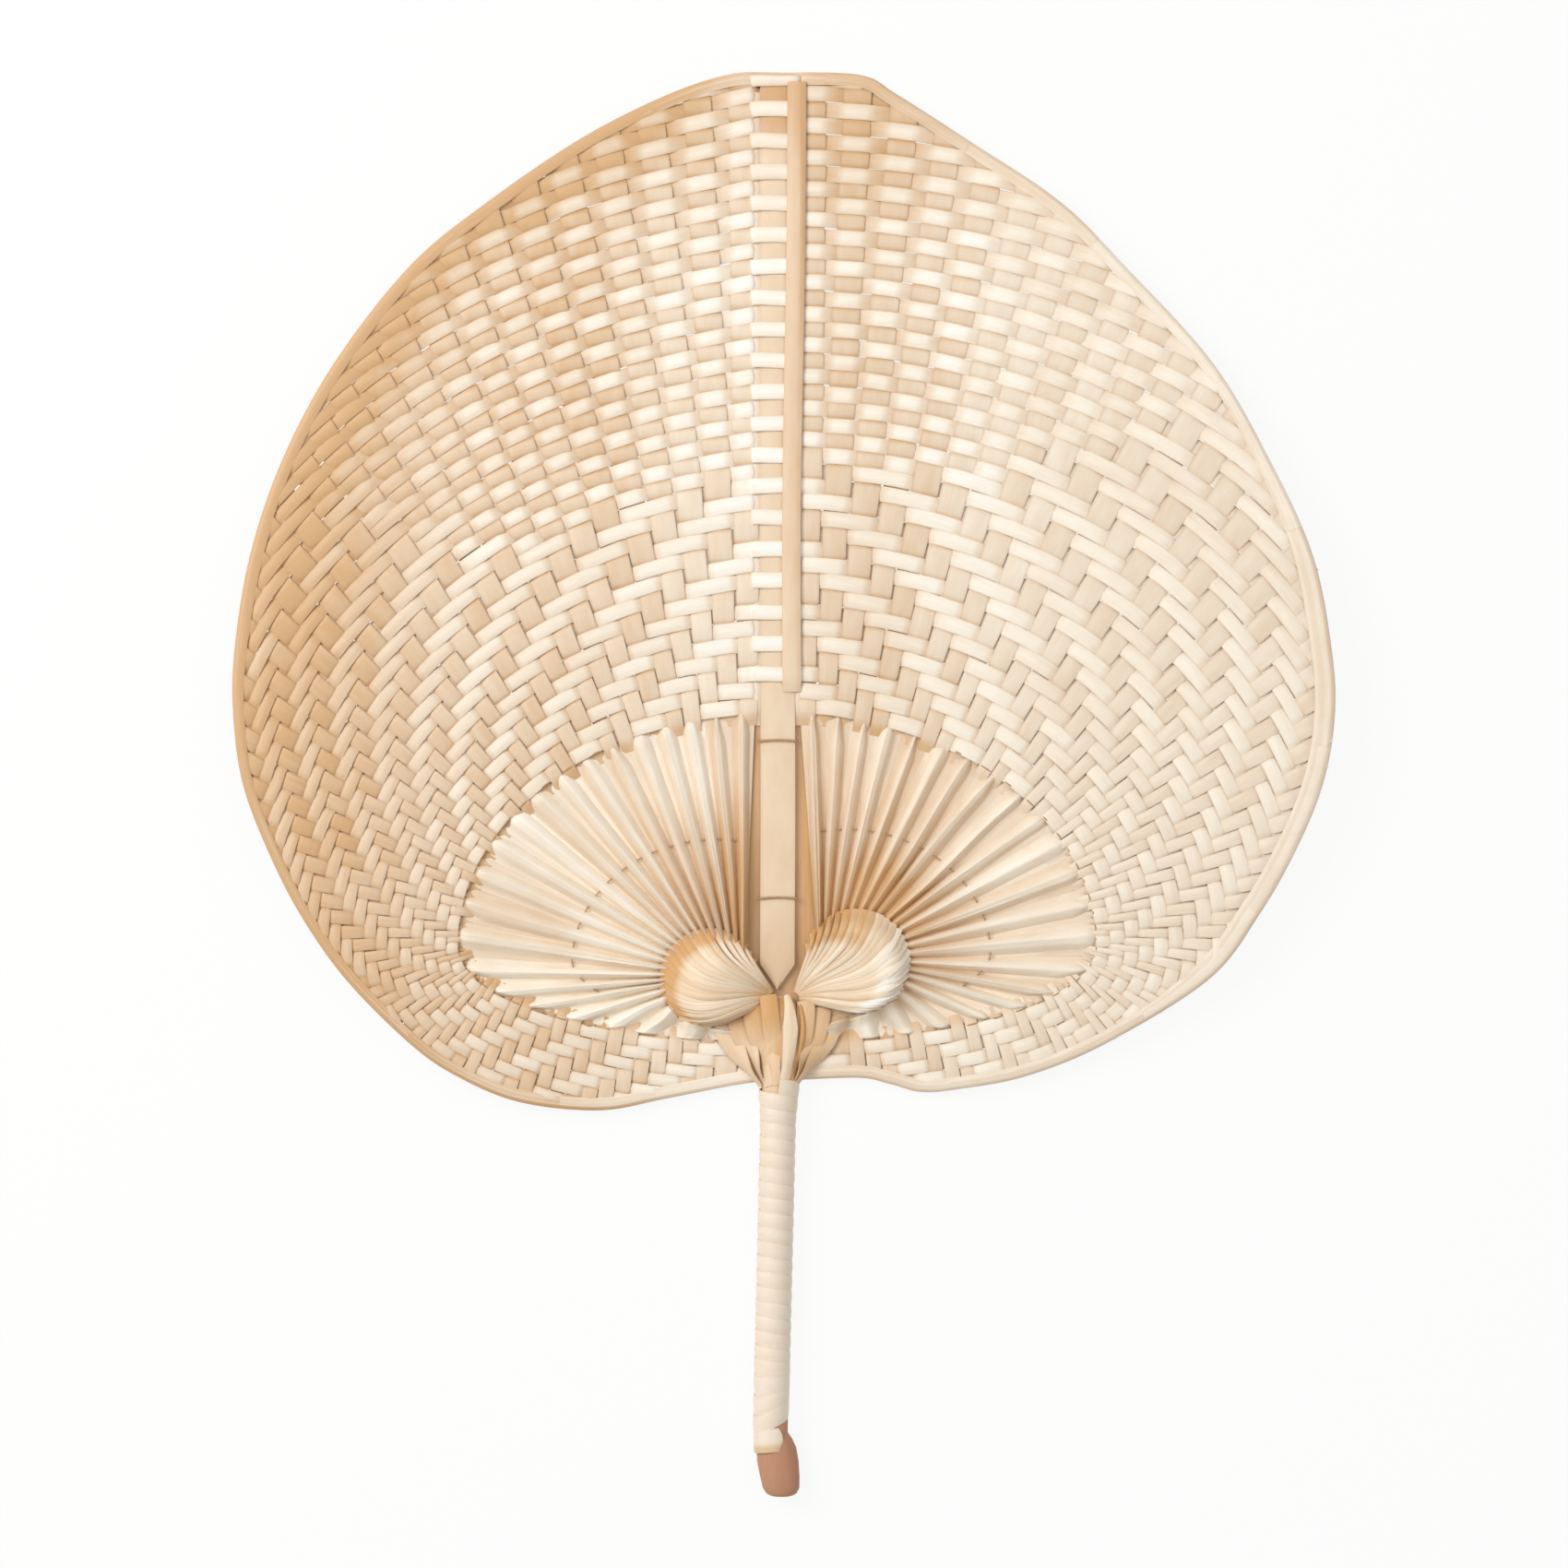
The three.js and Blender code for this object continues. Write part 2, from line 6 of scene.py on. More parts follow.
import bpy
import numpy as np
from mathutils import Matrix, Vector


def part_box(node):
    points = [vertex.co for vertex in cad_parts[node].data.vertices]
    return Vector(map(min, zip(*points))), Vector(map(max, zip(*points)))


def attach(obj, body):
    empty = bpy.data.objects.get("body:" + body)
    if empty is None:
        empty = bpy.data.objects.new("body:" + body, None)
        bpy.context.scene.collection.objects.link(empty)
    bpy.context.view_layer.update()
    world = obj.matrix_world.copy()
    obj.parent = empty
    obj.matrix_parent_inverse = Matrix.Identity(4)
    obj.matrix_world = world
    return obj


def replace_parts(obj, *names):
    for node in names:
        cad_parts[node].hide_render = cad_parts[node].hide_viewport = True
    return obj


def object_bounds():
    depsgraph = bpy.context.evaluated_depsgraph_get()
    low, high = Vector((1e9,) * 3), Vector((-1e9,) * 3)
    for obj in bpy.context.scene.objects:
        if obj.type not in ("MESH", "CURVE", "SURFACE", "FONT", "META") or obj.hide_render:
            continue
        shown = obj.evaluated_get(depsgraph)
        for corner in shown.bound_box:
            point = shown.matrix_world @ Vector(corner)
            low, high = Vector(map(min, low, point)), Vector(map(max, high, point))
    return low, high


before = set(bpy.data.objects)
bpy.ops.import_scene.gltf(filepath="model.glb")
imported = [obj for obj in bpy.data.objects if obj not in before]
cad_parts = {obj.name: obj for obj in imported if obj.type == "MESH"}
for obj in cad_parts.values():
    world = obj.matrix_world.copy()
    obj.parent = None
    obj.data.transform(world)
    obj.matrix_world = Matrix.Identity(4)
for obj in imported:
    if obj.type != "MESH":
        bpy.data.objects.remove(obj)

cad_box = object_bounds()
MM = 0.001
BLADES = ("woven_blade_left", "woven_blade_right")

# Blade
BLADE_HALF_WIDTH = 153.5
BLADE_TOP = 252
LOBE_DROP = 39.5
DISH_RISE = 12
SHEET_LOW = 1.9
SHEET_EDGE_X = 6.35
STRIP_THICK = 0.34
LEAF_THICK = 0.3

# The unwoven middle
INNER_HALF_WIDTH = 88.8
INNER_RISE = 65.2
INNER_CENTRE_Y = 7.2
NECK_SLIT_HALF = 8
EDGE_SAMPLES = 1200
HEADING_BLUR = 13
NECK_RUN = 5

# Weave: hoops are counted outwards from the unwoven middle, and radials cross them
WEAVE_LIFT = 0.43
WEAVE_MIDDLE = 0.75
FLOAT_ARCH = 0.14       # how far a strip bows where it stays on one side for two crossings
HOOP_START = 2.3
HOOP_SHARE = 0.99
HOOP_COUNT = 46
HOOP_GROUPS = {"hoops_by_the_ribs": 12, "hoops_of_the_middle": 22, "hoops_of_the_upper_blade": 46}
HOOP_END_Z = 0.3
HOOP_SHORTEST = 6
HOOP_OVER_SLAT = 0.28
HOOP_BEYOND_SLAT = 1.5
HOOP_FLAT_SHARE = 0.17      # the half of a crossing that lies level, as a share of the way to the next
RADIAL_FLAT_SHARE = 0.2
RADIAL_SHARE = 0.92
RADIAL_WIDEST = 8.0
RADIAL_ROOT = 3
RADIALS_SPACED_AT = 45

# Tones: 0 is the pale leaf and 1 the golden one, and below 0 it turns to a painted highlight
# Hoops are painted paler than the radials, standing in for how the light falls across them
HOOP_TONE = -0.09
GLINT_TONE = -0.34
TWILL_GLINT_SHARE = 0.45
GLINT_ACROSS = np.array([0, 0.65, 1, 0.65, 0])
# Radials are painted darker than the hoops, standing in for how the light falls across them
RADIAL_TONE = 0.23
# Painted shade where a strip dives under the others
DIP_SHADE = 0.37

# Rim: the section runs from the fold's upper edge round to its lower one, as shares of the
# flange's width and as heights
RIM_FLANGE = 3.2
RIM_WIDER_RIGHT = 2.2
RIM_NARROWER_LEFT = 0.6
RIM_TUCK_LINE = 1.4
RIM_TUCK_SOFT = 0.5
RIM_TUCK_RUN = 1.4
RIM_STEP = 1.5
RIM_LENGTH = 54
RIM_LAP = 7
RIM_SHORTEST = 12
RIM_PRESS = 0.2
RIM_THICK = 0.24
RIM_SECTION = [
    (1, 0.54), (0.87, 0.61), (0.74, 0.65), (0.6, 0.67), (0.46, 0.66), (0.32, 0.61), (0.19, 0.5),
    (0.08, 0.3), (0, 0), (0.08, -0.3), (0.2, -0.44), (0.4, -0.53), (0.68, -0.56), (0.96, -0.5),
]
RIM_EDGE_PLACES = slice(2, 8)       # those at the very edge, counted from the lower side

# Spine
SLAT_HALF_WIDTH = 4.85
SLAT_CLEAR = SLAT_HALF_WIDTH + 0.4
SLAT_POINT_Y = -5
SLAT_POINT_LENGTH = 7
SLAT_THICK = 1.25
SLAT_TOP_Y = 250.5
BACK_SLAT_HALF_WIDTH = 7
BACK_SLAT_LOW_Y = -10
BACK_SLAT_THICK = 1.3
TIE_Y = {"thread_tie_upper": 64.6, "thread_tie_lower": 20.5}
SLAT_TOP_Z = 3.5
BETWEEN_SLATS_Z = 1.75
LATH_X = 3.9
LATH_DRIFT = 1.3
LATH_WIDTH = 5.2
LATH_LOW_Y = 78.5
LATH_Z = 4.25
EDGE_STRIP_X = 5.85
EDGE_STRIP_WIDTH = 2.0
EDGE_STRIP_Z = 2.75
EDGE_STRIP_LOW_Y = 69

# Ribs: shares run from 0 at the boss to 1 where the weave begins
RIB_COUNT = 22
RIB_FOLD_AT_BOSS = 4.2
RIB_FOLD_AT_WEAVE = 1.4
RIB_FOLD_POWER = 1.6
RIB_THICK = 0.5
RIB_WALL = 0.35
RIB_FLOOR = {"left": 0.42, "right": 0.6}
RIB_LOWEST = 0.75
RIB_SPACING_SHARE = 0.74
RIB_LEAN = math.radians(38)
RIB_STATIONS = np.concatenate([
    np.linspace(-0.12, 0.1, 8, endpoint=False),
    np.linspace(0.1, 0.82, 18, endpoint=False),
    np.linspace(0.82, 1.1, 15),
])[:, None]
CREASE_PLACES = np.linspace(-1, 1, 15)
RIDGE_AT_BOSS = 0.94
RIDGE_AT_WEAVE = {"left": (0.66, 0.86), "right": (0.54, 0.74)}
FIT_GAP = 0.3

# Bosses: x and y of the middle, and radius; heights are along the middle strip, from the neck
# to the far edge
BOSS_LEFT = (-19.2, -1.6, 13.6)
BOSS_RIGHT = (22.2, 3, 14.4)
TAIL_TIP = (8.8, -17.2)
TAIL_CUT = 2.4
BOSS_STRIPS = 25
BOSS_STREAM_FROM = {"left": (-0.8, -7.2), "right": (-4.6, -7.4)}
BOSS_STREAM_CUT = 1.6
BOSS_SPREAD_SHARE = 0.97
BOSS_LOWEST = 1.2
BOSS_PROFILES = {
    "left": [
        (0, 1.8), (0.12, 4.4), (0.3, 8.0), (0.5, 9.9), (0.66, 9.2), (0.8, 5.6), (0.9, 3.6), (1, 3.2)],
    "right": [
        (0, 1.8), (0.15, 3.8), (0.35, 6.0), (0.55, 7.6), (0.72, 9.4), (0.84, 10.2), (0.93, 7.4), (1, 2.0)],
}
LOW_RIB_RUN = 4.8
INNER_DROP = INNER_CENTRE_Y - BOSS_LEFT[1] + BOSS_LEFT[2] + LOW_RIB_RUN

# Handle: the head's shares are of the way down to the grip, width and height; the butt's are of
# the way down to its end, width, height and drift aside
STALK_RADIUS = 4.35
HEAD_TOP_Y = BACK_SLAT_LOW_Y - FIT_GAP
HEAD_TOP_Z = 3.9
HEAD_OUTSIDE = STALK_RADIUS + 0.1
SHEATH_GAP = 0.35
HEAD_SHARES = [(0, 1.16, 0.4), (0.08, 1.24, 0.56), (0.42, 1.3, 0.74), (0.78, 1.12, 0.92), (1, 1, 1)]
GRIP_TOP_X = 0.5
GRIP_TOP_Y = -29.6
GRIP_BOTTOM_X = -1.9
GRIP_BOTTOM_Y = -129
BUTT_END_Y = -147
BUTT_DRIFT = 3.4
BUTT_SHARES = [
    (0, 1.03, 1, 0.1), (0.1, 1.16, 1.04, 0.32), (0.24, 1.29, 1.08, 0.5), (0.45, 1.34, 1.08, 0.66),
    (0.7, 1.27, 1.05, 0.86), (0.87, 1.18, 0.95, 0.98), (0.95, 0.98, 0.82, 1.02), (0.985, 0.74, 0.62, 1.03),
    (1, 0.5, 0.4, 1.03),
]
WRAP_THICK = 0.5
WRAP_PITCH = 4.18
WRAP_WIDTH = 4.5
WRAP_WIDER_AT_END = 1.7
WRAP_BULGE = 0.7
WRAP_LOWEST = 0.5
WRAP_WALL = 0.32
WRAP_SLANT = 3.6
WRAP_DROP = 1.2
END_BAND_Y = -130.9
END_BAND_ASIDE = 0.45
END_BAND_WIDTH = 6.6
GRIP_AXIS_Z = STALK_RADIUS + FIT_GAP + WRAP_THICK

# Threads
TWINE_SHARE = 0.44
TWINE_RIBS = 17
TWINE_RADIUS = 0.22
TIE_RADIUS = 0.34
THREAD_SIDES = 8

# The outline from the tip to the neck, as shares of the half width and of the height or drop
OUTLINE_LEFT = [
    [0, 1.0], [0.085, 0.998], [0.2, 0.975], [0.355, 0.927], [0.525, 0.856], [0.667, 0.784],
    [0.804, 0.676], [0.898, 0.568], [0.957, 0.46], [0.985, 0.352], [0.986, 0.28], [0.969, 0.208],
    [0.926, 0.137], [0.867, 0.065], [0.785, -0.046], [0.67, -0.5], [0.584, -0.735],
    [0.47, -0.92], [0.325, -0.98], [0.207, -0.9], [0.089, -0.81], [0.02, -0.77],
]
OUTLINE_RIGHT = [
    [0, 1.0], [0.15, 0.997], [0.218, 0.975], [0.34, 0.927], [0.513, 0.856], [0.631, 0.784],
    [0.79, 0.676], [0.893, 0.568], [0.972, 0.46], [1.006, 0.352], [1.01, 0.28], [0.989, 0.208],
    [0.942, 0.137], [0.876, 0.065], [0.785, -0.046], [0.6, -0.5], [0.455, -0.735],
    [0.33, -0.83], [0.262, -0.85], [0.207, -0.795], [0.148, -0.75], [0.02, -0.77],
]

# Leaves of the neck: x and y at the bosses, halfway and on the grip, height over the slat or
# the stalk, width at the three places, tone at both ends
NECK_LEAVES = {
    "left": [
        [(-16.0, -12.0), (-12.4, -20.5), (-4.7, -32.0), 0.7, (5.0, 6.4, 3.2), (0.7, 0.4)],
        [(-12.0, -10.0), (-8.9, -19.5), (-3.6, -32.0), 1.7, (5.6, 6.6, 3.6), (1.0, 0.42)],
        [(-7.4, -8.0), (-5.2, -18.0), (-2.2, -32.0), 2.7, (5.6, 6.2, 3.6), (1.25, 0.45)],
        [(-2.6, -6.6), (-1.6, -16.5), (-0.6, -31.6), 3.6, (4.6, 5.0, 3.0), (1.35, 0.5)],
    ],
    "right": [
        [(16.5, -12.5), (12.8, -20.5), (5.0, -32.0), 0.6, (5.0, 6.0, 3.0), (0.6, 0.6)],
        [(12.2, -10.2), (9.9, -19.5), (4.6, -32.0), 1.5, (5.4, 6.0, 3.2), (0.7, 0.7)],
        [(8.0, -8.4), (7.2, -18.5), (3.9, -31.6), 2.4, (4.8, 5.2, 2.8), (0.65, 0.85)],
        # A narrow dark strip that paints the shadow line beside the pale strip
        [(6.2, -9.4), (6.9, -18.5), (3.7, -31.0), 3.3, (0.7, 1.3, 1.0), (1.3, 1.5)],
        [(2.6, -6.6), (3.6, -17.0), (1.7, -31.5), 4.3, (1.4, 4.2, 2.8), (0.15, 0.12)],
    ],
}

# The stage is in metres
FLOOR_Z = -0.0004
WORLD_STRENGTH = 0.48
FLOOR_GLOW = 0.9
CAMERA_HEIGHT = 1.8
SENSOR_WIDTH = 36
FRAME_FILL = 0.91
LIGHT_AIM = Vector((0, 0.05, 0))
LIGHTS = [
    ("key", (-0.75, 0.5, 0.95), 0.8, 10.6),
    ("fill", (0.4, 0.3, 1.4), 1.2, 2.9),
]


def smooth(value):
    """A soft step from 0 at 0 to 1 at 1."""
    value = np.clip(value, 0, 1)
    return value * value * (3 - 2 * value)


def ramp(value, start, end):
    """A soft step from 0 at start to 1 at end, which may lie below the start."""
    return smooth((value - start) / (end - start))


def hump(value, middle, half_width):
    """1 at the middle, and softly down to 0 half a width to each side."""
    return smooth(1 - np.abs(value - middle) / half_width)


def at_stops(place, stops):
    """The value at a place, from stops of (place, value)."""
    return np.interp(place, *zip(*stops))


def blurred(line, kernel):
    """A row of values evened out by an odd number of weights, with its ends drawn on."""
    return np.convolve(np.pad(line, len(kernel) // 2, mode="edge"), kernel / np.sum(kernel), "valid")


def stack(*columns):
    """Points from their coordinates, which may be single numbers or arrays that fit together."""
    return np.stack(np.broadcast_arrays(*columns), -1)


def unit(rows):
    """Vectors brought to a length of 1."""
    return rows / (np.linalg.norm(rows, axis=-1, keepdims=True) + 1e-9)


def travelled(path):
    """How far along a path each of its points lies."""
    return np.append(0, np.cumsum(np.linalg.norm(np.diff(path, axis=0), axis=1)))


def stations_between(marks, steps):
    """The marks, and evenly spaced places that part each gap between them into steps."""
    return np.interp(np.arange((len(marks) - 1) * steps + 1) / steps, np.arange(len(marks)), marks)


def base_z(x):
    """Height of the dished blade's underside."""
    return SHEET_LOW + DISH_RISE * (x / BLADE_HALF_WIDTH) ** 2


def rim_flange(x, y):
    """How wide the leaf folded over the rim is: widest down the right side."""
    right = ramp(x, 95, 125) * ramp(y, -25, 0) * ramp(y, 150, 100)
    lower_left = ramp(x, -60, -100) * ramp(y, 110, 60)
    return RIM_FLANGE + RIM_WIDER_RIGHT * right - RIM_NARROWER_LEFT * lower_left


def outline_of(shares, samples=400):
    """The outline as a smooth line through its points, on the left, from the tip to the neck."""
    points = np.array([[-a * BLADE_HALF_WIDTH, b * (BLADE_TOP if b > 0 else LOBE_DROP)] for a, b in shares])
    last = len(points) - 1
    place = last * np.arange(samples + 1) / samples
    i = np.minimum(place.astype(int), last - 1)
    t = (place - i)[:, None]
    p0, p1, p2, p3 = (points[np.clip(i + k, 0, last)] for k in (-1, 0, 1, 2))
    v0, v1 = (p2 - p0) / 2, (p3 - p1) / 2
    return (2 * p1 - 2 * p2 + v0 + v1) * t ** 3 + (3 * p2 - 3 * p1 - 2 * v0 - v1) * t * t + v0 * t + p1


class Half:
    """One side of the blade. Its lines are worked out on the left and mirrored for the right.
    Places in the weave are s along the inner edge from the spine, and d outwards from it."""

    def __init__(self, name, side, boss, outline, pitch_stops, spacing_stops, twill_stops):
        self.name, self.side = name, side
        self.pitch_stops, self.twill_stops = pitch_stops, twill_stops
        start = math.pi / 2 + math.asin(SHEET_EDGE_X / INNER_HALF_WIDTH)
        end = 1.5 * math.pi - math.asin(NECK_SLIT_HALF / INNER_HALF_WIDTH)
        angle = np.linspace(start, end, EDGE_SAMPLES)
        rise = np.where(np.sin(angle) > 0, INNER_RISE, INNER_DROP)
        edge = stack(INNER_HALF_WIDTH * np.cos(angle), INNER_CENTRE_Y + rise * np.sin(angle))
        s = travelled(edge)
        self.length = s[-1]
        # The strips head out square to the edge, evened out along it, and upright at the spine
        square = np.unwrap(np.arctan2(np.sin(angle) / rise, np.cos(angle) / INNER_HALF_WIDTH))
        even = np.linspace(0, self.length, EDGE_SAMPLES)
        window = int(HEADING_BLUR / self.length * EDGE_SAMPLES)
        heading = blurred(np.interp(even, s, square), np.hanning(2 * window + 3))
        heading += (math.pi / 2 - heading[0]) * (1 - even / self.length) ** 3
        self.heading = np.append(np.interp(s, even, heading), heading[-1])
        self.edge = np.vstack([edge, edge[-1] + NECK_RUN * unit(edge[-1] - edge[-2])])
        self.s = np.append(s, self.length + NECK_RUN)
        self.outline = outline_of(outline)
        self.even = np.linspace(0, self.length + NECK_RUN, 500)
        self.reaches = np.array([self.meet_outline(s) for s in self.even])
        self.centre = np.array([-abs(boss[0]), boss[1]])
        self.radius = boss[2]
        self.tip = np.array([-TAIL_TIP[0], TAIL_TIP[1]])
        away = self.centre - self.tip
        self.away = math.atan2(away[1], away[0])
        self.spread = math.asin(self.radius / math.hypot(*away))
        spacing = at_stops(self.even / self.length, spacing_stops)
        density = self.widening(np.clip(self.even, 0.5, self.length - 0.5), RADIALS_SPACED_AT) / spacing
        count = np.append(0, np.cumsum((density[1:] + density[:-1]) / 2 * np.diff(self.even)))
        self.radials = np.interp(np.arange(0.3, count[-1] - 0.3), count, self.even)

    def ray(self, s):
        """Where the ray at s leaves the inner edge, and its heading."""
        return [np.interp(s, self.s, line) for line in (*self.edge.T, self.heading)]

    def flat_point(self, s, d):
        """A point of the weave on the left side."""
        x, y, heading = self.ray(s)
        return x + d * np.cos(heading), y + d * np.sin(heading)

    def point(self, s, d):
        x, y = self.flat_point(s, d)
        return -self.side * x, y

    def meet_outline(self, s):
        """How far out the ray at s meets the outline."""
        x, y, heading = self.ray(s)
        run_x, run_y = math.cos(heading), math.sin(heading)
        from_x, from_y = (self.outline[:-1] - (x, y)).T
        edge_x, edge_y = np.diff(self.outline, axis=0).T
        across = run_x * edge_y - run_y * edge_x
        along = (from_x * edge_y - from_y * edge_x) / across
        on_edge = (from_x * run_y - from_y * run_x) / across
        return along[(along > 0) & (on_edge >= 0) & (on_edge <= 1)].min()

    def reach(self, s):
        return np.interp(s, self.even, self.reaches)

    def pitch(self, s):
        return at_stops(s / self.length, self.pitch_stops)

    def twill_end(self, s):
        """How many hoops at s are woven over two and under two, before the plain weave begins."""
        return at_stops(s / self.length, self.twill_stops)

    def hoop_at(self, k, s):
        return HOOP_START + k * self.pitch(s)

    def hoop_over(self, i, k):
        """Whether hoop k passes over radial i; radial 0 is the spine slat."""
        if i == 0:
            return k > 0 and k % 2 == 0
        if k < self.twill_end(self.radials[i - 1]):
            return (k + i + 2) % 4 < 2
        return (k + i) % 2 == 0

    def apart(self, low, high, d):
        """How far apart two rays are at d."""
        (x0, y0), (x1, y1) = self.flat_point(low, d), self.flat_point(high, d)
        return np.hypot(x1 - x0, y1 - y0)

    def widening(self, s, d):
        """How far apart rays are at d for each millimetre between them on the inner edge."""
        return self.apart(s - 0.5, s + 0.5, d)

    def spacing_at(self, i, d):
        """How far radial i is from its neighbours at d."""
        low, high = max(i - 1, 0), min(i + 1, len(self.radials) - 1)
        return self.apart(self.radials[low], self.radials[high], d) / (high - low)

    def tuck(self, points):
        """Draws in what would pass the rim, so that it ends between the two sides of the rim's
        fold, and presses it flat where the fold is wide."""
        mirror = (-self.side, 1)
        flat = points[..., :2] * mirror
        gap = flat[..., None, :] - self.outline[1:-1]
        near = np.argmin(np.sum(gap * gap, -1), -1) + 1
        tangent = unit(self.outline[near + 1] - self.outline[near - 1])
        normal = stack(tangent[..., 1], -tangent[..., 0])
        past = np.sum((flat - self.outline[near]) * normal, -1) + RIM_TUCK_LINE
        soft = RIM_TUCK_SOFT * (1 - np.exp(-np.maximum(past, 0) / RIM_TUCK_SOFT))
        moved = np.where(past > 0, soft - past, 0)
        points = points.copy()
        points[..., :2] += moved[..., None] * normal * mirror
        flange = rim_flange(points[..., 0], points[..., 1])
        narrow = ramp(flange, RIM_FLANGE + 1.1, RIM_FLANGE + 0.3)
        free = 3 * (ramp(RIM_TUCK_LINE - past - flange, 0.3, 2.3) + narrow)
        cap = base_z(points[..., 0]) + WEAVE_MIDDLE + RIM_PRESS + free
        points[..., 2] = np.minimum(points[..., 2], cap)
        return points

    def rib_point(self, ribs, share):
        """A point of the rib bundle on the left, and the length of its rib."""
        part = ribs / RIB_COUNT
        spaced = RIB_SPACING_SHARE * part + (1 - RIB_SPACING_SHARE) * part * part
        x, y, out = self.ray(spaced * self.length)
        lean = RIB_LEAN * np.clip(1 - part, 0, 1) ** 3
        heading = np.arctan2(y - self.centre[1], x - self.centre[0]) - lean
        turn = np.abs(np.arctan2(np.sin(heading - self.away), np.cos(heading - self.away)))
        from_boss = self.radius / np.cos(np.maximum(turn - math.pi / 2 - self.spread, 0)) + FIT_GAP
        x0 = self.centre[0] + np.cos(heading) * from_boss
        y0 = self.centre[1] + np.sin(heading) * from_boss
        length = np.hypot(x - x0, y - y0)
        inside = np.minimum(share, 1)
        past = np.maximum(share - 1, 0) * length
        x = x0 + (x - x0) * inside + past * np.cos(out)
        y = y0 + (y - y0) * inside + past * np.sin(out)
        return x, y, length


halves = [
    Half("left", -1, BOSS_LEFT, OUTLINE_LEFT,
         [(0, 4.4), (0.1, 4.2), (0.22, 3.95), (0.37, 3.6), (0.46, 3.25), (0.75, 3.3), (1, 3.3)],
         [(0, 7.4), (0.2, 6.9), (0.34, 6.1), (0.42, 4.5), (0.54, 4.8), (0.7, 5.1), (0.94, 5), (0.97, 8),
          (1, 8)],
         [(0, 15), (0.24, 15), (0.44, 46)]),
    Half("right", 1, BOSS_RIGHT, OUTLINE_RIGHT,
         [(0, 4.4), (0.3, 4.4), (0.44, 4.2), (0.6, 4.0), (1, 3.5)],
         [(0, 7.4), (0.2, 6.8), (0.32, 6.2), (0.42, 4.3), (0.54, 4.5), (0.7, 4.8), (0.94, 5), (0.97, 8),
          (1, 8)],
         [(0, 15), (0.14, 16), (0.24, 21), (0.4, 46)]),
]


def deselect():
    bpy.ops.object.select_all(action="DESELECT")


def lay_sheet(points, along, across, tone=0.3, shade=0.5):
    """A grid laid through points[station, place across], in millimetres. The strip's own
    length and width coordinates go in its UV map, and its tone and shade in attributes."""
    stations, places = points.shape[:2]
    deselect()
    bpy.ops.mesh.primitive_grid_add(x_subdivisions=stations - 1, y_subdivisions=places - 1, size=1)
    piece = bpy.context.object
    mesh = piece.data
    flat = np.empty(len(mesh.vertices) * 3)
    mesh.vertices.foreach_get("co", flat)
    i, j = np.rint((flat.reshape(-1, 3)[:, :2] + 0.5) * (stations - 1, places - 1)).astype(int).T
    mesh.vertices.foreach_set("co", (points[i, j] * MM).ravel())
    corner = np.empty(len(mesh.loops), int)
    mesh.loops.foreach_get("vertex_index", corner)
    along, across, tone, shade = (np.broadcast_to(value, (stations, places))[i, j]
                                  for value in (along, across, tone, shade))
    mesh.uv_layers[0].data.foreach_set("uv", stack(along, across)[corner].ravel())
    for label, value in (("tone", tone), ("shade", shade)):
        mesh.attributes.new(label, "FLOAT", "POINT").data.foreach_set("value", value.astype(np.float32))
    return piece


def tone_at(x, y):
    """How golden the leaf is: pale on the right, warmer towards the left rim and the tip."""
    left = 0.3 * ramp(x, -3, -65) + 0.53 * ramp(x, -80, -135)
    upper_left = 0.1 * ramp(y, 120, 180) * ramp(x, -20, -60)
    lower_left = 0.1 * ramp(y, 25, -5) * ramp(x, -30, -80)
    right = 0.27 * hump(x, 22, 38) + 0.1 * ramp(x, 50, 80)
    tip = 0.27 * ramp(y, 200, 240)
    near_rim = np.hypot(x / BLADE_HALF_WIDTH, (y - 60) / (BLADE_TOP - 60))
    gilt = 0.35 * ramp(near_rim, 0.86, 0.96) * ramp(x, -8, -38) * ramp(y, 90, 130)
    return 0.09 + left + upper_left + lower_left + right + tip + gilt


def strand_contrast(x):
    """The strips that run across differ less from the others on the right and at the left rim."""
    return (1 - 0.62 * ramp(x, 40, 80)) * (1 - 0.72 * ramp(x, -75, -110))


def lay_strip(path, width, crown=0.22, places=5, across=None, shade=0.5, tone=None, more_tone=0,
              tilt=0, roof=0, bend=None):
    """A strip of leaf along a path of points, crowned, roofed or tilted across its width."""
    run = unit(np.gradient(path, axis=0))
    if across is None:
        across = unit(stack(-run[:, 1], run[:, 0], 0))
    across = np.broadcast_to(across, path.shape)
    up = unit(np.cross(run, across))
    v = np.linspace(-1, 1, places)
    aside = v * np.broadcast_to(width, len(path))[:, None] / 2
    lift = crown * (1 - v ** 2) + roof * (1 - np.abs(v)) + tilt * v
    points = path[:, None] + across[:, None] * aside[..., None] + up[:, None] * lift[:, None]
    if bend is not None:
        points = bend(points)
    if tone is None:
        tone = tone_at(points[..., 0], points[..., 1]) + more_tone * strand_contrast(points[..., 0])
    elif np.ndim(tone) == 1:
        tone = tone[:, None]
    return lay_sheet(points, travelled(path)[:, None] / 10, v, tone, shade)


def join(pieces, name, thick=STRIP_THICK, offset=0.0, angle=50):
    """Joins sheets into one piece with a wall."""
    deselect()
    for piece in pieces:
        piece.select_set(True)
    bpy.context.view_layer.objects.active = pieces[0]
    if len(pieces) > 1:
        bpy.ops.object.join()
    piece = bpy.context.object
    piece.name = piece.data.name = name
    if thick:
        wall = piece.modifiers.new("wall", "SOLIDIFY")
        wall.thickness = thick * MM
        wall.offset = offset
        bpy.ops.object.modifier_apply(modifier=wall.name)
    bpy.ops.object.shade_smooth_by_angle(angle=math.radians(angle))
    return piece


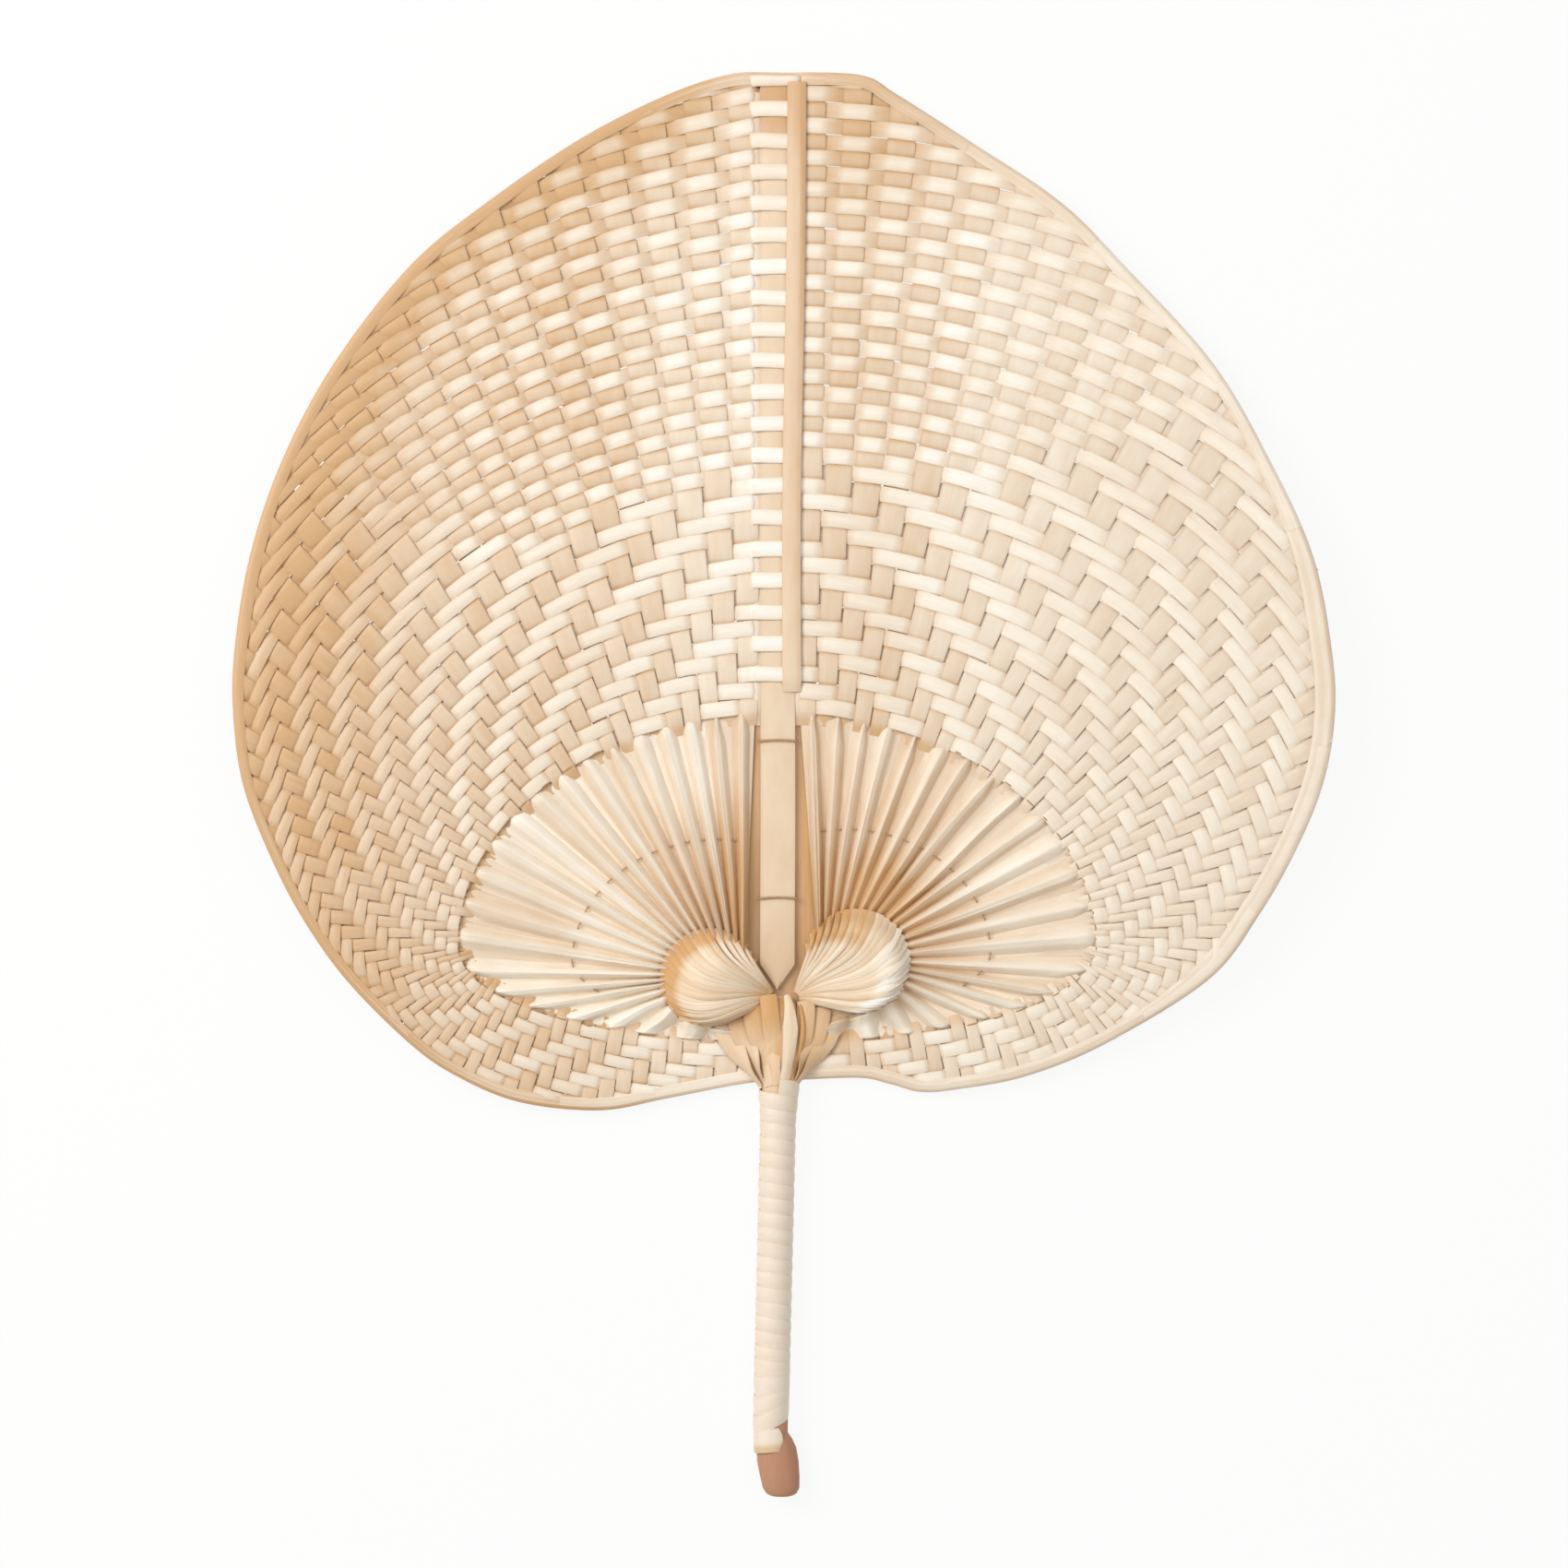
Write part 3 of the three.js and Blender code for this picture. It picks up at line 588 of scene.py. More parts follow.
def ride_height(t, keys):
    """Height along a strip from its crossings: (place, height, half length of the flat top)."""
    place, height, flat = np.array(sorted(keys)).T
    j = np.clip(np.searchsorted(place, t, side="right") - 1, 0, len(keys) - 2)
    start = place[j] + flat[j]
    stop = place[j + 1] - flat[j + 1]
    step = height[j + 1] - height[j]
    rise = step * smooth((t - start) / np.maximum(stop - start, 1e-6))
    arch = FLOAT_ARCH * np.sin(math.pi * np.clip((t - place[j]) / (place[j + 1] - place[j]), 0, 1))
    return height[j] + rise + arch * (np.abs(step) < 0.3) * np.sign(height[j] - WEAVE_MIDDLE)


def waver(place, pitch, rng):
    """A wave along a strip, which starts anywhere in its swing."""
    return np.sin(place * pitch + rng.uniform(0, 6))


def dipped(ride):
    """1 where a strip lies under the others, 0 where it lies over them."""
    return ramp(ride, WEAVE_MIDDLE + 0.5, WEAVE_MIDDLE - 0.1)


def runs_of(valid):
    """First and last index of each unbroken run of true values."""
    change = np.diff(np.pad(valid.astype(int), 1))
    return zip(np.flatnonzero(change == 1), np.flatnonzero(change == -1) - 1)


def hoop_keys(half, k, low, high):
    """The crossings of hoop k between two places on the inner edge, as (s, height, flat)."""
    for i, s in enumerate(half.radials):
        if low < s < high:
            d = half.hoop_at(k, s)
            lift = WEAVE_LIFT if half.hoop_over(i + 1, k) else -WEAVE_LIFT
            yield s, WEAVE_MIDDLE + lift, HOOP_FLAT_SHARE * half.spacing_at(i, d) / half.widening(s, d)


def hoop_strip(half_runs, k, rng):
    """One hoop. half_runs holds (half, low, high) for one side, or both where it crosses the spine."""
    spine = len(half_runs) == 2
    over = halves[0].hoop_over(0, k)
    shift = SHEET_EDGE_X if spine else 0
    keys = []
    for half, low, high in half_runs:
        keys += [(half.side * (s + shift), z, flat) for s, z, flat in hoop_keys(half, k, low, high)]
        ends = [high + shift + 0.01] if spine else [high + 0.01, low - 0.01]
        keys += [(half.side * end, HOOP_END_Z, 0.1) for end in ends]
    slat_edges = []
    if spine:
        more = HOOP_BEYOND_SLAT if over else 0
        z = SLAT_TOP_Z + HOOP_OVER_SLAT if over else BETWEEN_SLATS_Z
        keys.append((-more / 2, z - SHEET_LOW, SLAT_CLEAR + more / 2))
        slat_edges = [-SLAT_CLEAR - more, SLAT_CLEAR]
    t = stations_between(sorted(slat_edges + [key[0] for key in keys]), 5)
    x, y, width, twill = np.zeros((4, len(t)))
    for half, low, high in half_runs:
        mine = (t >= 0) == (half.side == 1) if spine else np.full(len(t), True)
        from_edge = np.abs(t[mine]) - shift
        s = np.clip(from_edge, 0, half.length)
        x[mine], y[mine] = half.point(s, half.hoop_at(k, s))
        x[mine] = np.where(from_edge < 0, t[mine], x[mine])
        width[mine] = half.pitch(s) * HOOP_SHARE
        twill[mine] = ramp(half.twill_end(s), k - 1, k + 1) * (from_edge > 0)
    y += 0.16 * waver(t, 0.11, rng) + 0.12 * waver(t, 0.31, rng)
    ride = ride_height(t, keys)
    glint = ramp(ride, WEAVE_MIDDLE + 0.72 * WEAVE_LIFT, WEAVE_MIDDLE + WEAVE_LIFT)
    glint = glint * (1 - (1 - TWILL_GLINT_SHARE) * twill)
    if spine and not over:
        width = width * (1 - 0.25 * ramp(np.abs(t), SLAT_CLEAR + 1.2, SLAT_CLEAR))
    bend = half_runs[0][0].tuck
    if spine:
        bend = tuck_both if k > HOOP_COUNT / 2 else None
    # Hoops: painted paler, with painted shade in the dips and painted highlights on the crests
    more_tone = HOOP_TONE + DIP_SHADE * dipped(ride)[:, None] + GLINT_TONE * glint[:, None] * GLINT_ACROSS
    return lay_strip(stack(x, y, base_z(x) + ride), width * rng.uniform(0.95, 1.02), shade=rng.random(),
                     crown=0.3, more_tone=more_tone, bend=bend)


def tuck_both(points):
    """Tucks each point of a strip that crosses the spine under the rim of its own side."""
    left, right = (half.tuck(points) for half in halves)
    return np.where(points[..., :1] < 0, left, right)


def hoops():
    """Every hoop of the weave, from the ribs outwards."""
    groups = [[] for unused in HOOP_GROUPS]
    for k in range(HOOP_COUNT):
        group = groups[sum(k >= limit for limit in HOOP_GROUPS.values())]
        central = []
        rng = random.Random(100 + k)
        for half in halves:
            valid = half.hoop_at(k, half.even) <= half.reaches - RIM_TUCK_RUN
            for first, last in runs_of(valid):
                low, high = half.even[first], half.even[last]
                if first == 0:
                    central.append((half, low, high))
                elif high - low > HOOP_SHORTEST:
                    group.append(hoop_strip([(half, low, high)], k, rng))
        if len(central) == 2:
            group.append(hoop_strip(central, k, rng))
    for name, group in zip(HOOP_GROUPS, groups):
        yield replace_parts(join(group, name), *BLADES)


def radial_strip(half, i, rng):
    """One radial, from its root inside the end of a rib to the fold of the rim."""
    s = half.radials[i]
    rim = float(half.reach(s))
    end = rim + 0.6
    keys = [(-RADIAL_ROOT - 1, 0.2, 0.1), (end + 1, WEAVE_MIDDLE, 0.1)]
    for k in range(HOOP_COUNT):
        d = half.hoop_at(k, s)
        if d <= rim - RIM_TUCK_RUN:
            lift = -WEAVE_LIFT if half.hoop_over(i + 1, k) else WEAVE_LIFT
            height = WEAVE_MIDDLE + lift * min(1, 0.3 + (rim - d) / 7)
            keys.append((d, height, RADIAL_FLAT_SHARE * half.pitch(s)))
    d = stations_between([-RADIAL_ROOT, *sorted(key[0] for key in keys if 0 < key[0] < end), end], 4)
    x, y = half.point(s, d)
    ride = ride_height(d, keys)
    width = np.clip(half.spacing_at(i, np.clip(d, 0, rim)) * RADIAL_SHARE, 1.0, RADIAL_WIDEST)
    width = width * rng.uniform(0.95, 1.03)
    heading = half.ray(s)[2]
    aside = np.array([-math.sin(heading), -half.side * math.cos(heading), 0])
    wander = 0.14 * waver(d, 0.21, rng) * ramp(d, rim, rim - 9)
    path = stack(x, y, base_z(x) + ride) + aside * wander[:, None]
    # Radials: painted darker, with painted shade in the dips
    return lay_strip(path, width, across=aside, shade=rng.random(),
                     more_tone=RADIAL_TONE + DIP_SHADE * dipped(ride)[:, None], bend=half.tuck)


def radials():
    """The strips that run outwards, one piece a side."""
    for half in halves:
        rng = random.Random(17 + half.side)
        strips = [radial_strip(half, i, rng) for i in range(len(half.radials))]
        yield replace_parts(join(strips, f"radials_{half.name}"), f"woven_blade_{half.name}")


def rim_line():
    """The outline from the left neck over the tip to the right neck, evenly stepped, and how far
    along it the steps are."""
    line = np.concatenate([halves[0].outline[::-1], halves[1].outline[1:] * (-1, 1)])
    line = line[(np.abs(line[:, 0]) > NECK_SLIT_HALF - 3.5) | (line[:, 1] > 0)]
    gone = travelled(line)
    even = np.arange(0, gone[-1], RIM_STEP)
    return stack(*(np.interp(even, gone, column) for column in line.T)), even


def rim_fold():
    """Lengths of leaf folded over the rim, each lapping the one before it."""
    line, even = rim_line()
    run = unit(np.gradient(line, axis=0))
    inward = stack(run[:, 1], -run[:, 0])
    rng = random.Random(5)
    across, height = np.array(RIM_SECTION).T
    wider = np.clip((across - 0.15) / 0.85, 0, 1)
    very_edge = np.zeros(len(across))
    very_edge[RIM_EDGE_PLACES] = 1
    pieces = []
    start = 0.0
    while start < even[-1] - RIM_SHORTEST:
        stop = min(start + RIM_LENGTH * rng.uniform(0.75, 1.25), even[-1])
        if even[-1] - stop < RIM_SHORTEST + 2:
            stop = even[-1]
        mine = (even >= start - RIM_LAP) & (even <= stop)
        u = even[mine, None]
        x, y = line[mine].T[..., None]
        flange = rim_flange(x, y) * rng.uniform(0.94, 1.06)
        flange = flange * (0.45 + 0.55 * ramp(u, start - RIM_LAP, start - RIM_LAP + 5))
        lap = 1.1 - 0.22 * ramp(u, start + 1, start - 2)
        pressed = 0.75 * ramp(np.abs(x), SLAT_HALF_WIDTH + 3, SLAT_HALF_WIDTH + 0.5) * (y > 200)
        depth = across * RIM_FLANGE + wider * (flange - RIM_FLANGE)
        flat = line[mine, None] + inward[mine, None] * depth[..., None]
        z = base_z(flat[..., 0]) + WEAVE_MIDDLE * (1 - 0.9 * pressed) + height * lap * (1 - pressed)
        points = np.concatenate([flat, z[..., None]], 2)[:, ::-1]
        edge_tone = 0.1 + 0.62 * ramp(x, -20, -90) * ramp(y, 150, 90) + 0.1 * ramp(x, 0, -30)
        tone = tone_at(x, y) + rng.uniform(-0.04, 0.1) + edge_tone * very_edge
        tone = tone + [rng.uniform(-0.14, 0.2) for streak in across]
        places = np.linspace(-0.85, 0.85, len(across))
        pieces.append(lay_sheet(points, (u - start) / 10, places, tone, rng.random()))
        start = stop
    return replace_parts(join(pieces, "rim_fold", thick=RIM_THICK, offset=-1, angle=60), *BLADES)


def rib_fold(share):
    """How high a rib's fold stands."""
    more = RIB_FOLD_AT_BOSS - RIB_FOLD_AT_WEAVE
    return RIB_FOLD_AT_WEAVE + more * np.clip(1 - share, 0, 1.2) ** RIB_FOLD_POWER


def creased(crest, second, height):
    """The section of a folded strip, from edge to edge: a crease and a lower second one."""
    q = CREASE_PLACES
    main = np.where(q < crest, (q + 1) / (crest + 1), (1 - q) / (1 - crest)) ** 0.72
    return blurred(main + height * np.clip(1 - np.abs(q - second) / 0.26, 0, 1), (0.22, 0.56, 0.22))


def rib_leaf(half, number, rng):
    """One leaf strip folded lengthwise over a crease, from under the boss to under the weave."""
    right = half.side == 1
    part = (number + 0.5) / RIB_COUNT
    share = RIB_STATIONS
    taper = smooth((share - rng.uniform(0.84, 0.95)) / 0.15)
    narrowing = rng.uniform(*RIDGE_AT_WEAVE[half.name]) - RIDGE_AT_BOSS
    wide = RIDGE_AT_BOSS + narrowing * ramp(share, 0.25, 0.85)
    edge = np.ones_like(share)
    v = np.hstack([-edge, wide * (1 - 0.62 * taper) * CREASE_PLACES, edge])
    crest = rng.uniform(-0.34, 0.3)
    second = crest + (0.58 if crest < 0 else -0.58)
    ridge = np.pad(creased(crest, second, rng.uniform(0.1, 0.3)), 1)
    ridge = np.maximum(ridge - ridge[1], 0)
    sway = rng.uniform(-0.16, 0.16) * waver(share, rng.uniform(2.5, 5), rng) * smooth(share * 3)
    warp = v + (rng.uniform(-0.12, 0.12) + sway) * (1 - v * v)
    x, y, length = half.rib_point(number + 0.5 + 0.505 * warp, share)
    near_boss = ramp(share, 0.5, 0)
    floor = rib_fold(share) * (RIB_FLOOR[half.name] + 0.2 * right * hump(part, 0.35, 0.25)) * near_boss
    fold = (rib_fold(share) + 0.7) * rng.uniform(0.88, 1.12) - floor
    sink = 2.2 * ramp(share, 0.03, -0.09) + 1.6 * right * ramp(share, 0.3, 0) * hump(part, 0.38, 0.36)
    wave = 0.3 * waver(share, rng.uniform(4, 8), rng) * smooth(share * 4) * smooth((1 - share) * 5)
    z = base_z(x) + RIB_THICK + floor - sink - 0.9 * ramp(share, 0.97, 1.04)
    z = np.maximum(z + (fold * ramp(share, 1.07, 0.95) + wave) * ridge, RIB_LOWEST)
    if right:
        # Near the right boss the ribs are darker gold: partly the leaf's colour and partly painted shade
        # cast by the boss
        gold = 0.06 + near_boss * (0.3 + 0.5 * hump(part, 0.33, 0.36))
        gold = gold + 0.16 * ramp(part, 0.6, 0.1) * ramp(share, 1, 0.5)
    else:
        gold = 0.02 + 0.72 * ramp(share, 0.8, 0) * ramp(part, 0.46, 0)
        gold = gold + 0.4 * ramp(share, 0.3, 0.6) * hump(part, 0.56, 0.1)
    gold = gold + rng.uniform(-0.1, 0.16) * (2 - ramp(part, 0.2, 0.4))
    # Painted shade in the valleys between the folds, and on the face of each fold turned from the light
    valley_shade = (0.34 if right else 0.26) * (1 - np.clip(ridge, 0, 1)) ** 1.5
    shaded_face = (0.14 if right else 0.27) * np.pad(CREASE_PLACES > crest, 1) * ramp(part, 0.6, 0.3)
    tone = gold + valley_shade * (0.6 + 0.4 * near_boss) + shaded_face
    points = stack(-half.side * x, y, z)[:, ::-half.side]
    piece = lay_sheet(points, share * length / 10, v * 0.79, tone[:, ::-half.side], rng.random())
    return join([piece], f"leaf_rib_{half.name}_{number + 1:02d}", thick=RIB_WALL, offset=-1, angle=40)


def ribs():
    """The folded leaves between the bosses and the weave."""
    for half in halves:
        rng = random.Random(31 + half.side)
        for number in range(RIB_COUNT):
            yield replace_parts(rib_leaf(half, number, rng), f"rib_{half.name}_{number + 1:02d}")


def boss_strips(half):
    """The strips that leave the neck together, climb over the hump and dive at its far edge,
    and a flat layer that closes it underneath."""
    rng = random.Random(53 + half.side)
    t = np.linspace(0, 1, 34)
    height = blurred(at_stops(t, BOSS_PROFILES[half.name]), np.ones(5))
    strips = []
    for number in range(2 * BOSS_STRIPS):
        below = number >= BOSS_STRIPS
        start, cut = (half.tip, TAIL_CUT) if below else (BOSS_STREAM_FROM[half.name], BOSS_STREAM_CUT)
        away = half.centre - start
        tail = math.hypot(*away)
        spread = math.asin(half.radius / tail) * BOSS_SPREAD_SHARE
        place = 2 * (number % BOSS_STRIPS + 0.5) / BOSS_STRIPS - 1
        turn = place * spread
        far = tail * math.cos(turn) + math.sqrt(half.radius ** 2 - (tail * math.sin(turn)) ** 2)
        r = cut + (far - cut) * t
        heading = math.atan2(away[1], away[0]) + turn + 0.22 * np.sin(math.pi * t) * (1 - place ** 2)
        x = start[0] + r * np.cos(heading)
        uneven = rng.uniform(-0.3, 0.3) * np.sin(math.pi * t)
        rise = BOSS_LOWEST + (height - BOSS_LOWEST) * math.sqrt(1 - 0.9 * place ** 2) + uneven
        width = np.clip(2 * spread / BOSS_STRIPS * r * rng.uniform(1.15, 1.7), 1.2, 5)
        streak = rng.uniform(-0.16, 0.16)
        if below:
            rise = 0.2 + 0.15 * (number % 2)
            tone = 0.5
        elif half.side == 1:
            tone = 0.22 + 0.35 * ramp(t, 0.3, 0) + 0.8 * ramp(t, 0.62, 0.76) * smooth(-0.1 - 1.5 * place)
            # A paler crescent on the far rim: painted highlight
            tone = tone - 0.4 * ramp(t, 0.62, 0.74) * smooth(0.5 + 1.5 * place)
        else:
            tone = 0.18 + 0.6 * ramp(t, 0.25, 0) + 0.28 * smooth(place)
            # The far ends turn golden where they dive into the recess before the ribs: painted shade
            tone = tone + 0.9 * ramp(t, 0.77, 0.89) * smooth(1.3 + 0.9 * place) * smooth(1.9 - 2.2 * place)
        path = stack(-half.side * x, start[1] + r * np.sin(heading), base_z(x) + rise)
        strips.append(lay_strip(path, width, crown=0.16, roof=0.14, tilt=rng.uniform(-0.2, 0.2),
                                shade=rng.random(), tone=tone + streak))
    piece = join(strips, f"boss_strips_{half.name}", thick=LEAF_THICK, angle=60)
    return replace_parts(piece, f"boss_{half.name}")


def grip_axis_x(y):
    """The grip leans a little to the left on its way down."""
    return GRIP_TOP_X + (GRIP_BOTTOM_X - GRIP_TOP_X) * (GRIP_TOP_Y - y) / (GRIP_TOP_Y - GRIP_BOTTOM_Y)


def round_grip(turn, y, radius, aside=0.0):
    """Points round the grip's axis, kept off the table, and the direction outwards at each."""
    outward = stack(np.sin(turn), 0, np.cos(turn))
    path = stack(grip_axis_x(y) + aside, y, GRIP_AXIS_Z) + outward * np.reshape(radius, (-1, 1))
    path[:, 2] = np.maximum(path[:, 2], WRAP_LOWEST)
    return path, outward


def width_way(outward, path):
    """The direction of a strip's width where it lies flat on what is under it."""
    return unit(np.cross(outward, np.gradient(path, axis=0)))


def grip_winding():
    """The flat strip wound down the stalk, and the band that its loose end makes."""
    low, high = (np.array(corner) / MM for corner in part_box("handle_winding"))
    turns = (high[1] - low[1] - WRAP_WIDTH) / WRAP_PITCH
    turn = np.linspace(0, math.tau * turns, int(turns * 48))
    radius = STALK_RADIUS + FIT_GAP + WRAP_BULGE * ramp(turn, 5 * math.pi, 0)
    path, outward = round_grip(turn, high[1] - WRAP_WIDTH / 2 - WRAP_PITCH * turn / math.tau, radius)
    along = unit(stack(np.cos(turn), -WRAP_PITCH / (math.tau * radius), -np.sin(turn)))
    slant = ramp(turn, turn[-1] - 8 * math.pi, turn[-1])
    path[:, 1] += slant * (WRAP_SLANT * np.sin(turn) - WRAP_DROP)
    width = WRAP_WIDTH + WRAP_WIDER_AT_END * ramp(turn, turn[-1] - 9 * math.pi, turn[-1] - 7 * math.pi)
    strip = lay_strip(path, width, crown=0.26, places=7, across=np.cross(outward, along), tilt=0.16,
                      tone=0.1)

    turn = np.linspace(-0.8, 0.2, 30) * math.pi
    y = END_BAND_Y + 0.5 * np.sin(turn)
    path, outward = round_grip(turn, y, STALK_RADIUS * 1.05 + 0.3, END_BAND_ASIDE)
    width = END_BAND_WIDTH * np.sqrt(np.clip((0.21 - turn / math.pi) / 0.07, 0.05, 1))
    golden_edge = np.tile(ramp(np.linspace(-1, 1, 9), -0.1, -0.8), (len(turn), 1))
    band = lay_strip(path, width, crown=0.1, places=9, across=width_way(outward, path), shade=0.4,
                     tone=0.1 + 1.1 * golden_edge)
    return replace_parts(join([strip, band], "grip_strip", thick=WRAP_WALL), "handle_winding")


def neck_sheath():
    """A leaf that wraps the head of the stalk under the other leaves of the neck."""
    share = np.linspace(-0.17, 1.3, 36)[:, None]
    turn = np.radians(np.linspace(264, -84, 41))
    closing = ramp(share, 0, -0.17)
    at_share, wide, tall = zip(*HEAD_SHARES)
    wide = (np.interp(share, at_share, wide) * STALK_RADIUS + SHEATH_GAP) * (1 - 0.3 * closing)
    tall = (np.interp(share, at_share, tall) * STALK_RADIUS + SHEATH_GAP) * (1 - 0.75 * closing)
    y = HEAD_TOP_Y + (GRIP_TOP_Y - HEAD_TOP_Y) * share
    z = HEAD_TOP_Z + (GRIP_AXIS_Z - HEAD_TOP_Z) * np.clip(share, 0, 1) - 0.5 * closing
    points = stack(GRIP_TOP_X * share + wide * np.cos(turn), y, z + tall * np.sin(turn))
    across = 0.85 * np.sin(np.linspace(0, 9 * math.pi, len(turn)))
    tone = 0.72 + 0.2 * np.sin(np.linspace(0, 15, len(turn))) - 0.35 * ramp(share, 0.8, 1)
    sheet = lay_sheet(points[::-1], np.arange(len(share))[:, None] / 15, across, tone[::-1], 0.4)
    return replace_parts(join([sheet], "neck_sheath", thick=LEAF_THICK), "neck_fold_left", "neck_fold_right")


def neck_leaves(half):
    """Strips that come out from under a boss and lie down over the head of the stalk."""
    rng = random.Random(71 + half.side)
    t = np.linspace(0, 1, 26)
    strips = []
    for start, middle, end, rise, widths, tones in NECK_LEAVES[half.name]:
        x, y = ((1 - t) ** 2 * a + 2 * t * (1 - t) * (2 * b - (a + c) / 2) + t ** 2 * c
                for a, b, c in zip(start, middle, end))
        on_grip = ramp(y, GRIP_TOP_Y + 12, GRIP_TOP_Y + 1)
        aside = np.clip((x - GRIP_TOP_X) / HEAD_OUTSIDE, -0.97, 0.97)
        over_stalk = GRIP_AXIS_Z + HEAD_OUTSIDE * np.sqrt(1 - aside ** 2) + 0.05 * rise
        z = (SHEET_LOW + rise + 2.2 * np.sin(math.pi * t)) * (1 - on_grip) + over_stalk * on_grip
        width = np.interp(t, [0, 0.45, 1], widths) * rng.uniform(0.95, 1.05)
        tone = tones[0] + (tones[1] - tones[0]) * smooth(t * 1.3)
        outward = stack(aside * on_grip, 0, np.sqrt(1 - (aside * on_grip) ** 2))
        path = stack(x, y, z)
        strips.append(lay_strip(path, width, crown=0.3, roof=0.1, places=7, across=width_way(outward, path),
                                shade=rng.random(), tone=tone))
    piece = join(strips, f"neck_leaves_{half.name}", thick=LEAF_THICK, angle=60)
    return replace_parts(piece, f"neck_fold_{half.name}")


def cord(path, radius):
    """A thin round thread along a path."""
    run = unit(np.gradient(path, axis=0))
    up = np.where(np.abs(run[:, 2:]) > 0.9, (0.0, 1.0, 0.0), (0.0, 0.0, 1.0))
    across = unit(np.cross(up, run))
    up = np.cross(run, across)
    turn = np.linspace(0, math.tau, THREAD_SIDES + 1)[:, None]
    points = path[:, None] + radius * (across[:, None] * np.cos(turn) + up[:, None] * np.sin(turn))
    return lay_sheet(points, np.arange(len(path))[:, None] / 10, turn[:, 0] / math.pi - 1)


def twine(half):
    """The thread run through the ribs, and a second one where the weave begins."""
    x, y, unused = half.rib_point(np.linspace(0.3, TWINE_RIBS - 0.5, 260), TWINE_SHARE)
    z = base_z(x) + RIB_THICK + 0.42 * rib_fold(TWINE_SHARE)
    threads = [cord(stack(-half.side * x, y, z), TWINE_RADIUS)]
    keys = [(s, WEAVE_MIDDLE + (0.75 if i % 2 else -0.5), 0.2) for i, s in enumerate(half.radials)]
    s = np.arange(0.22 * half.length, 0.8 * half.length, 0.6)
    x, y = half.point(s, 0.5)
    threads.append(cord(stack(x, y, base_z(x) + ride_height(s, keys)), TWINE_RADIUS))
    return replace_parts(join(threads, f"thread_{half.name}", thick=0), f"twine_{half.name}")


def spine_ties():
    """Two threads drawn tight round both slats."""
    wide, low, high = SLAT_HALF_WIDTH + 0.35, 0.7, SLAT_TOP_Z + 0.45
    x = stations_between([-wide, -wide, wide, wide, -wide], 9)
    z = stations_between([low, high, high, low, low], 9)
    sag = 0.25 * np.sin(3 * (np.arange(len(x)) % 9 / 9))
    for name, y in TIE_Y.items():
        tie = cord(stack(x, y + sag, z), TIE_RADIUS)
        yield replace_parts(join([tie], name, thick=0), name.replace("thread", "spine"))


def slats():
    """The front slat with its pointed lower end, the lath on it, and the plain slat behind."""
    y = np.concatenate([SLAT_POINT_Y + np.array([0, 1, 2.5, 4.5, 7]), np.linspace(4, SLAT_TOP_Y, 120)])
    width = 2 * SLAT_HALF_WIDTH * np.clip((y - SLAT_POINT_Y) / SLAT_POINT_LENGTH, 0.04, 1)
    tone = 0.26 + 0.8 * ramp(y, 225, 243) + 0.3 * ramp(y, 20, -2)
    wander = 0.22 * np.sin(y * 0.021 + 1.2) * smooth(y / 60)
    slat = lay_strip(stack(wander, y, SLAT_TOP_Z - 0.32), width, crown=0.3, places=7, tone=tone)
    slat = join([slat], "front_slat", thick=SLAT_THICK, offset=-1, angle=35)
    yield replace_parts(slat, "spine_slat_front")
    y = np.linspace(LATH_LOW_Y, SLAT_TOP_Y - 1, 120)
    x = LATH_X + LATH_DRIFT * ramp(y, 100, 210) + 0.25 * np.sin(y * 0.03)
    z = LATH_Z - 0.75 * ramp(y, LATH_LOW_Y + 3.5, LATH_LOW_Y)
    z = z - 0.3 * ramp(y, SLAT_TOP_Y - 8, SLAT_TOP_Y - 1)
    tone = 0.24 + 0.2 * ramp(y, 80, 140) + 0.45 * ramp(y, 222, 244)
    # Painted shade along the lath's right edge, the side away from the light
    lath_edge_shade = ramp(np.linspace(-1, 1, 7), -0.3, -0.8)
    tone = tone[:, None] + (0.2 + 0.5 * ramp(y, 150, 230))[:, None] * lath_edge_shade
    lath = lay_strip(stack(x, y, z), LATH_WIDTH, crown=0.3, places=7, tone=tone)
    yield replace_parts(join([lath], "spine_lath", thick=LEAF_THICK), "spine_slat_front")
    y = np.linspace(BACK_SLAT_LOW_Y, SLAT_TOP_Y, 110)
    slat = lay_strip(stack(0, y, 1.35), 2 * BACK_SLAT_HALF_WIDTH, crown=0.2, places=7, tone=0.9)
    slat = join([slat], "back_slat", thick=BACK_SLAT_THICK, offset=-1, angle=35)
    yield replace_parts(slat, "spine_slat_back")


def edge_strips():
    """A narrow strip beside each edge of the slat, for the hoops to dive under."""
    y = np.linspace(EDGE_STRIP_LOW_Y, SLAT_TOP_Y - 4, 110)
    z = EDGE_STRIP_Z - 0.9 * ramp(y, EDGE_STRIP_LOW_Y + 6, EDGE_STRIP_LOW_Y)
    for half in halves:
        strip = lay_strip(stack(half.side * EDGE_STRIP_X, y, z), EDGE_STRIP_WIDTH, crown=0.2, shade=0.4,
                          more_tone=0.12)
        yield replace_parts(join([strip], f"slat_edge_{half.name}"), f"woven_blade_{half.name}")


def side_leaves():
    """Flat leaf that shows in the slits between the slat and the first ribs."""
    y = np.linspace(-12, INNER_CENTRE_Y + INNER_RISE + 4, 40)
    for half in halves:
        rows = []
        for number in range(3):
            x = half.side * (7.2 + number * (1.9 + 1.2 * ramp(y, 45, -15)))
            path = stack(x, y, 1.0 + 0.12 * number)
            rows.append(lay_strip(path, 3.4, tone=0.95, shade=0.3 + 0.2 * number))
        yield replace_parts(join(rows, f"side_leaf_{half.name}"), f"rib_{half.name}_01")


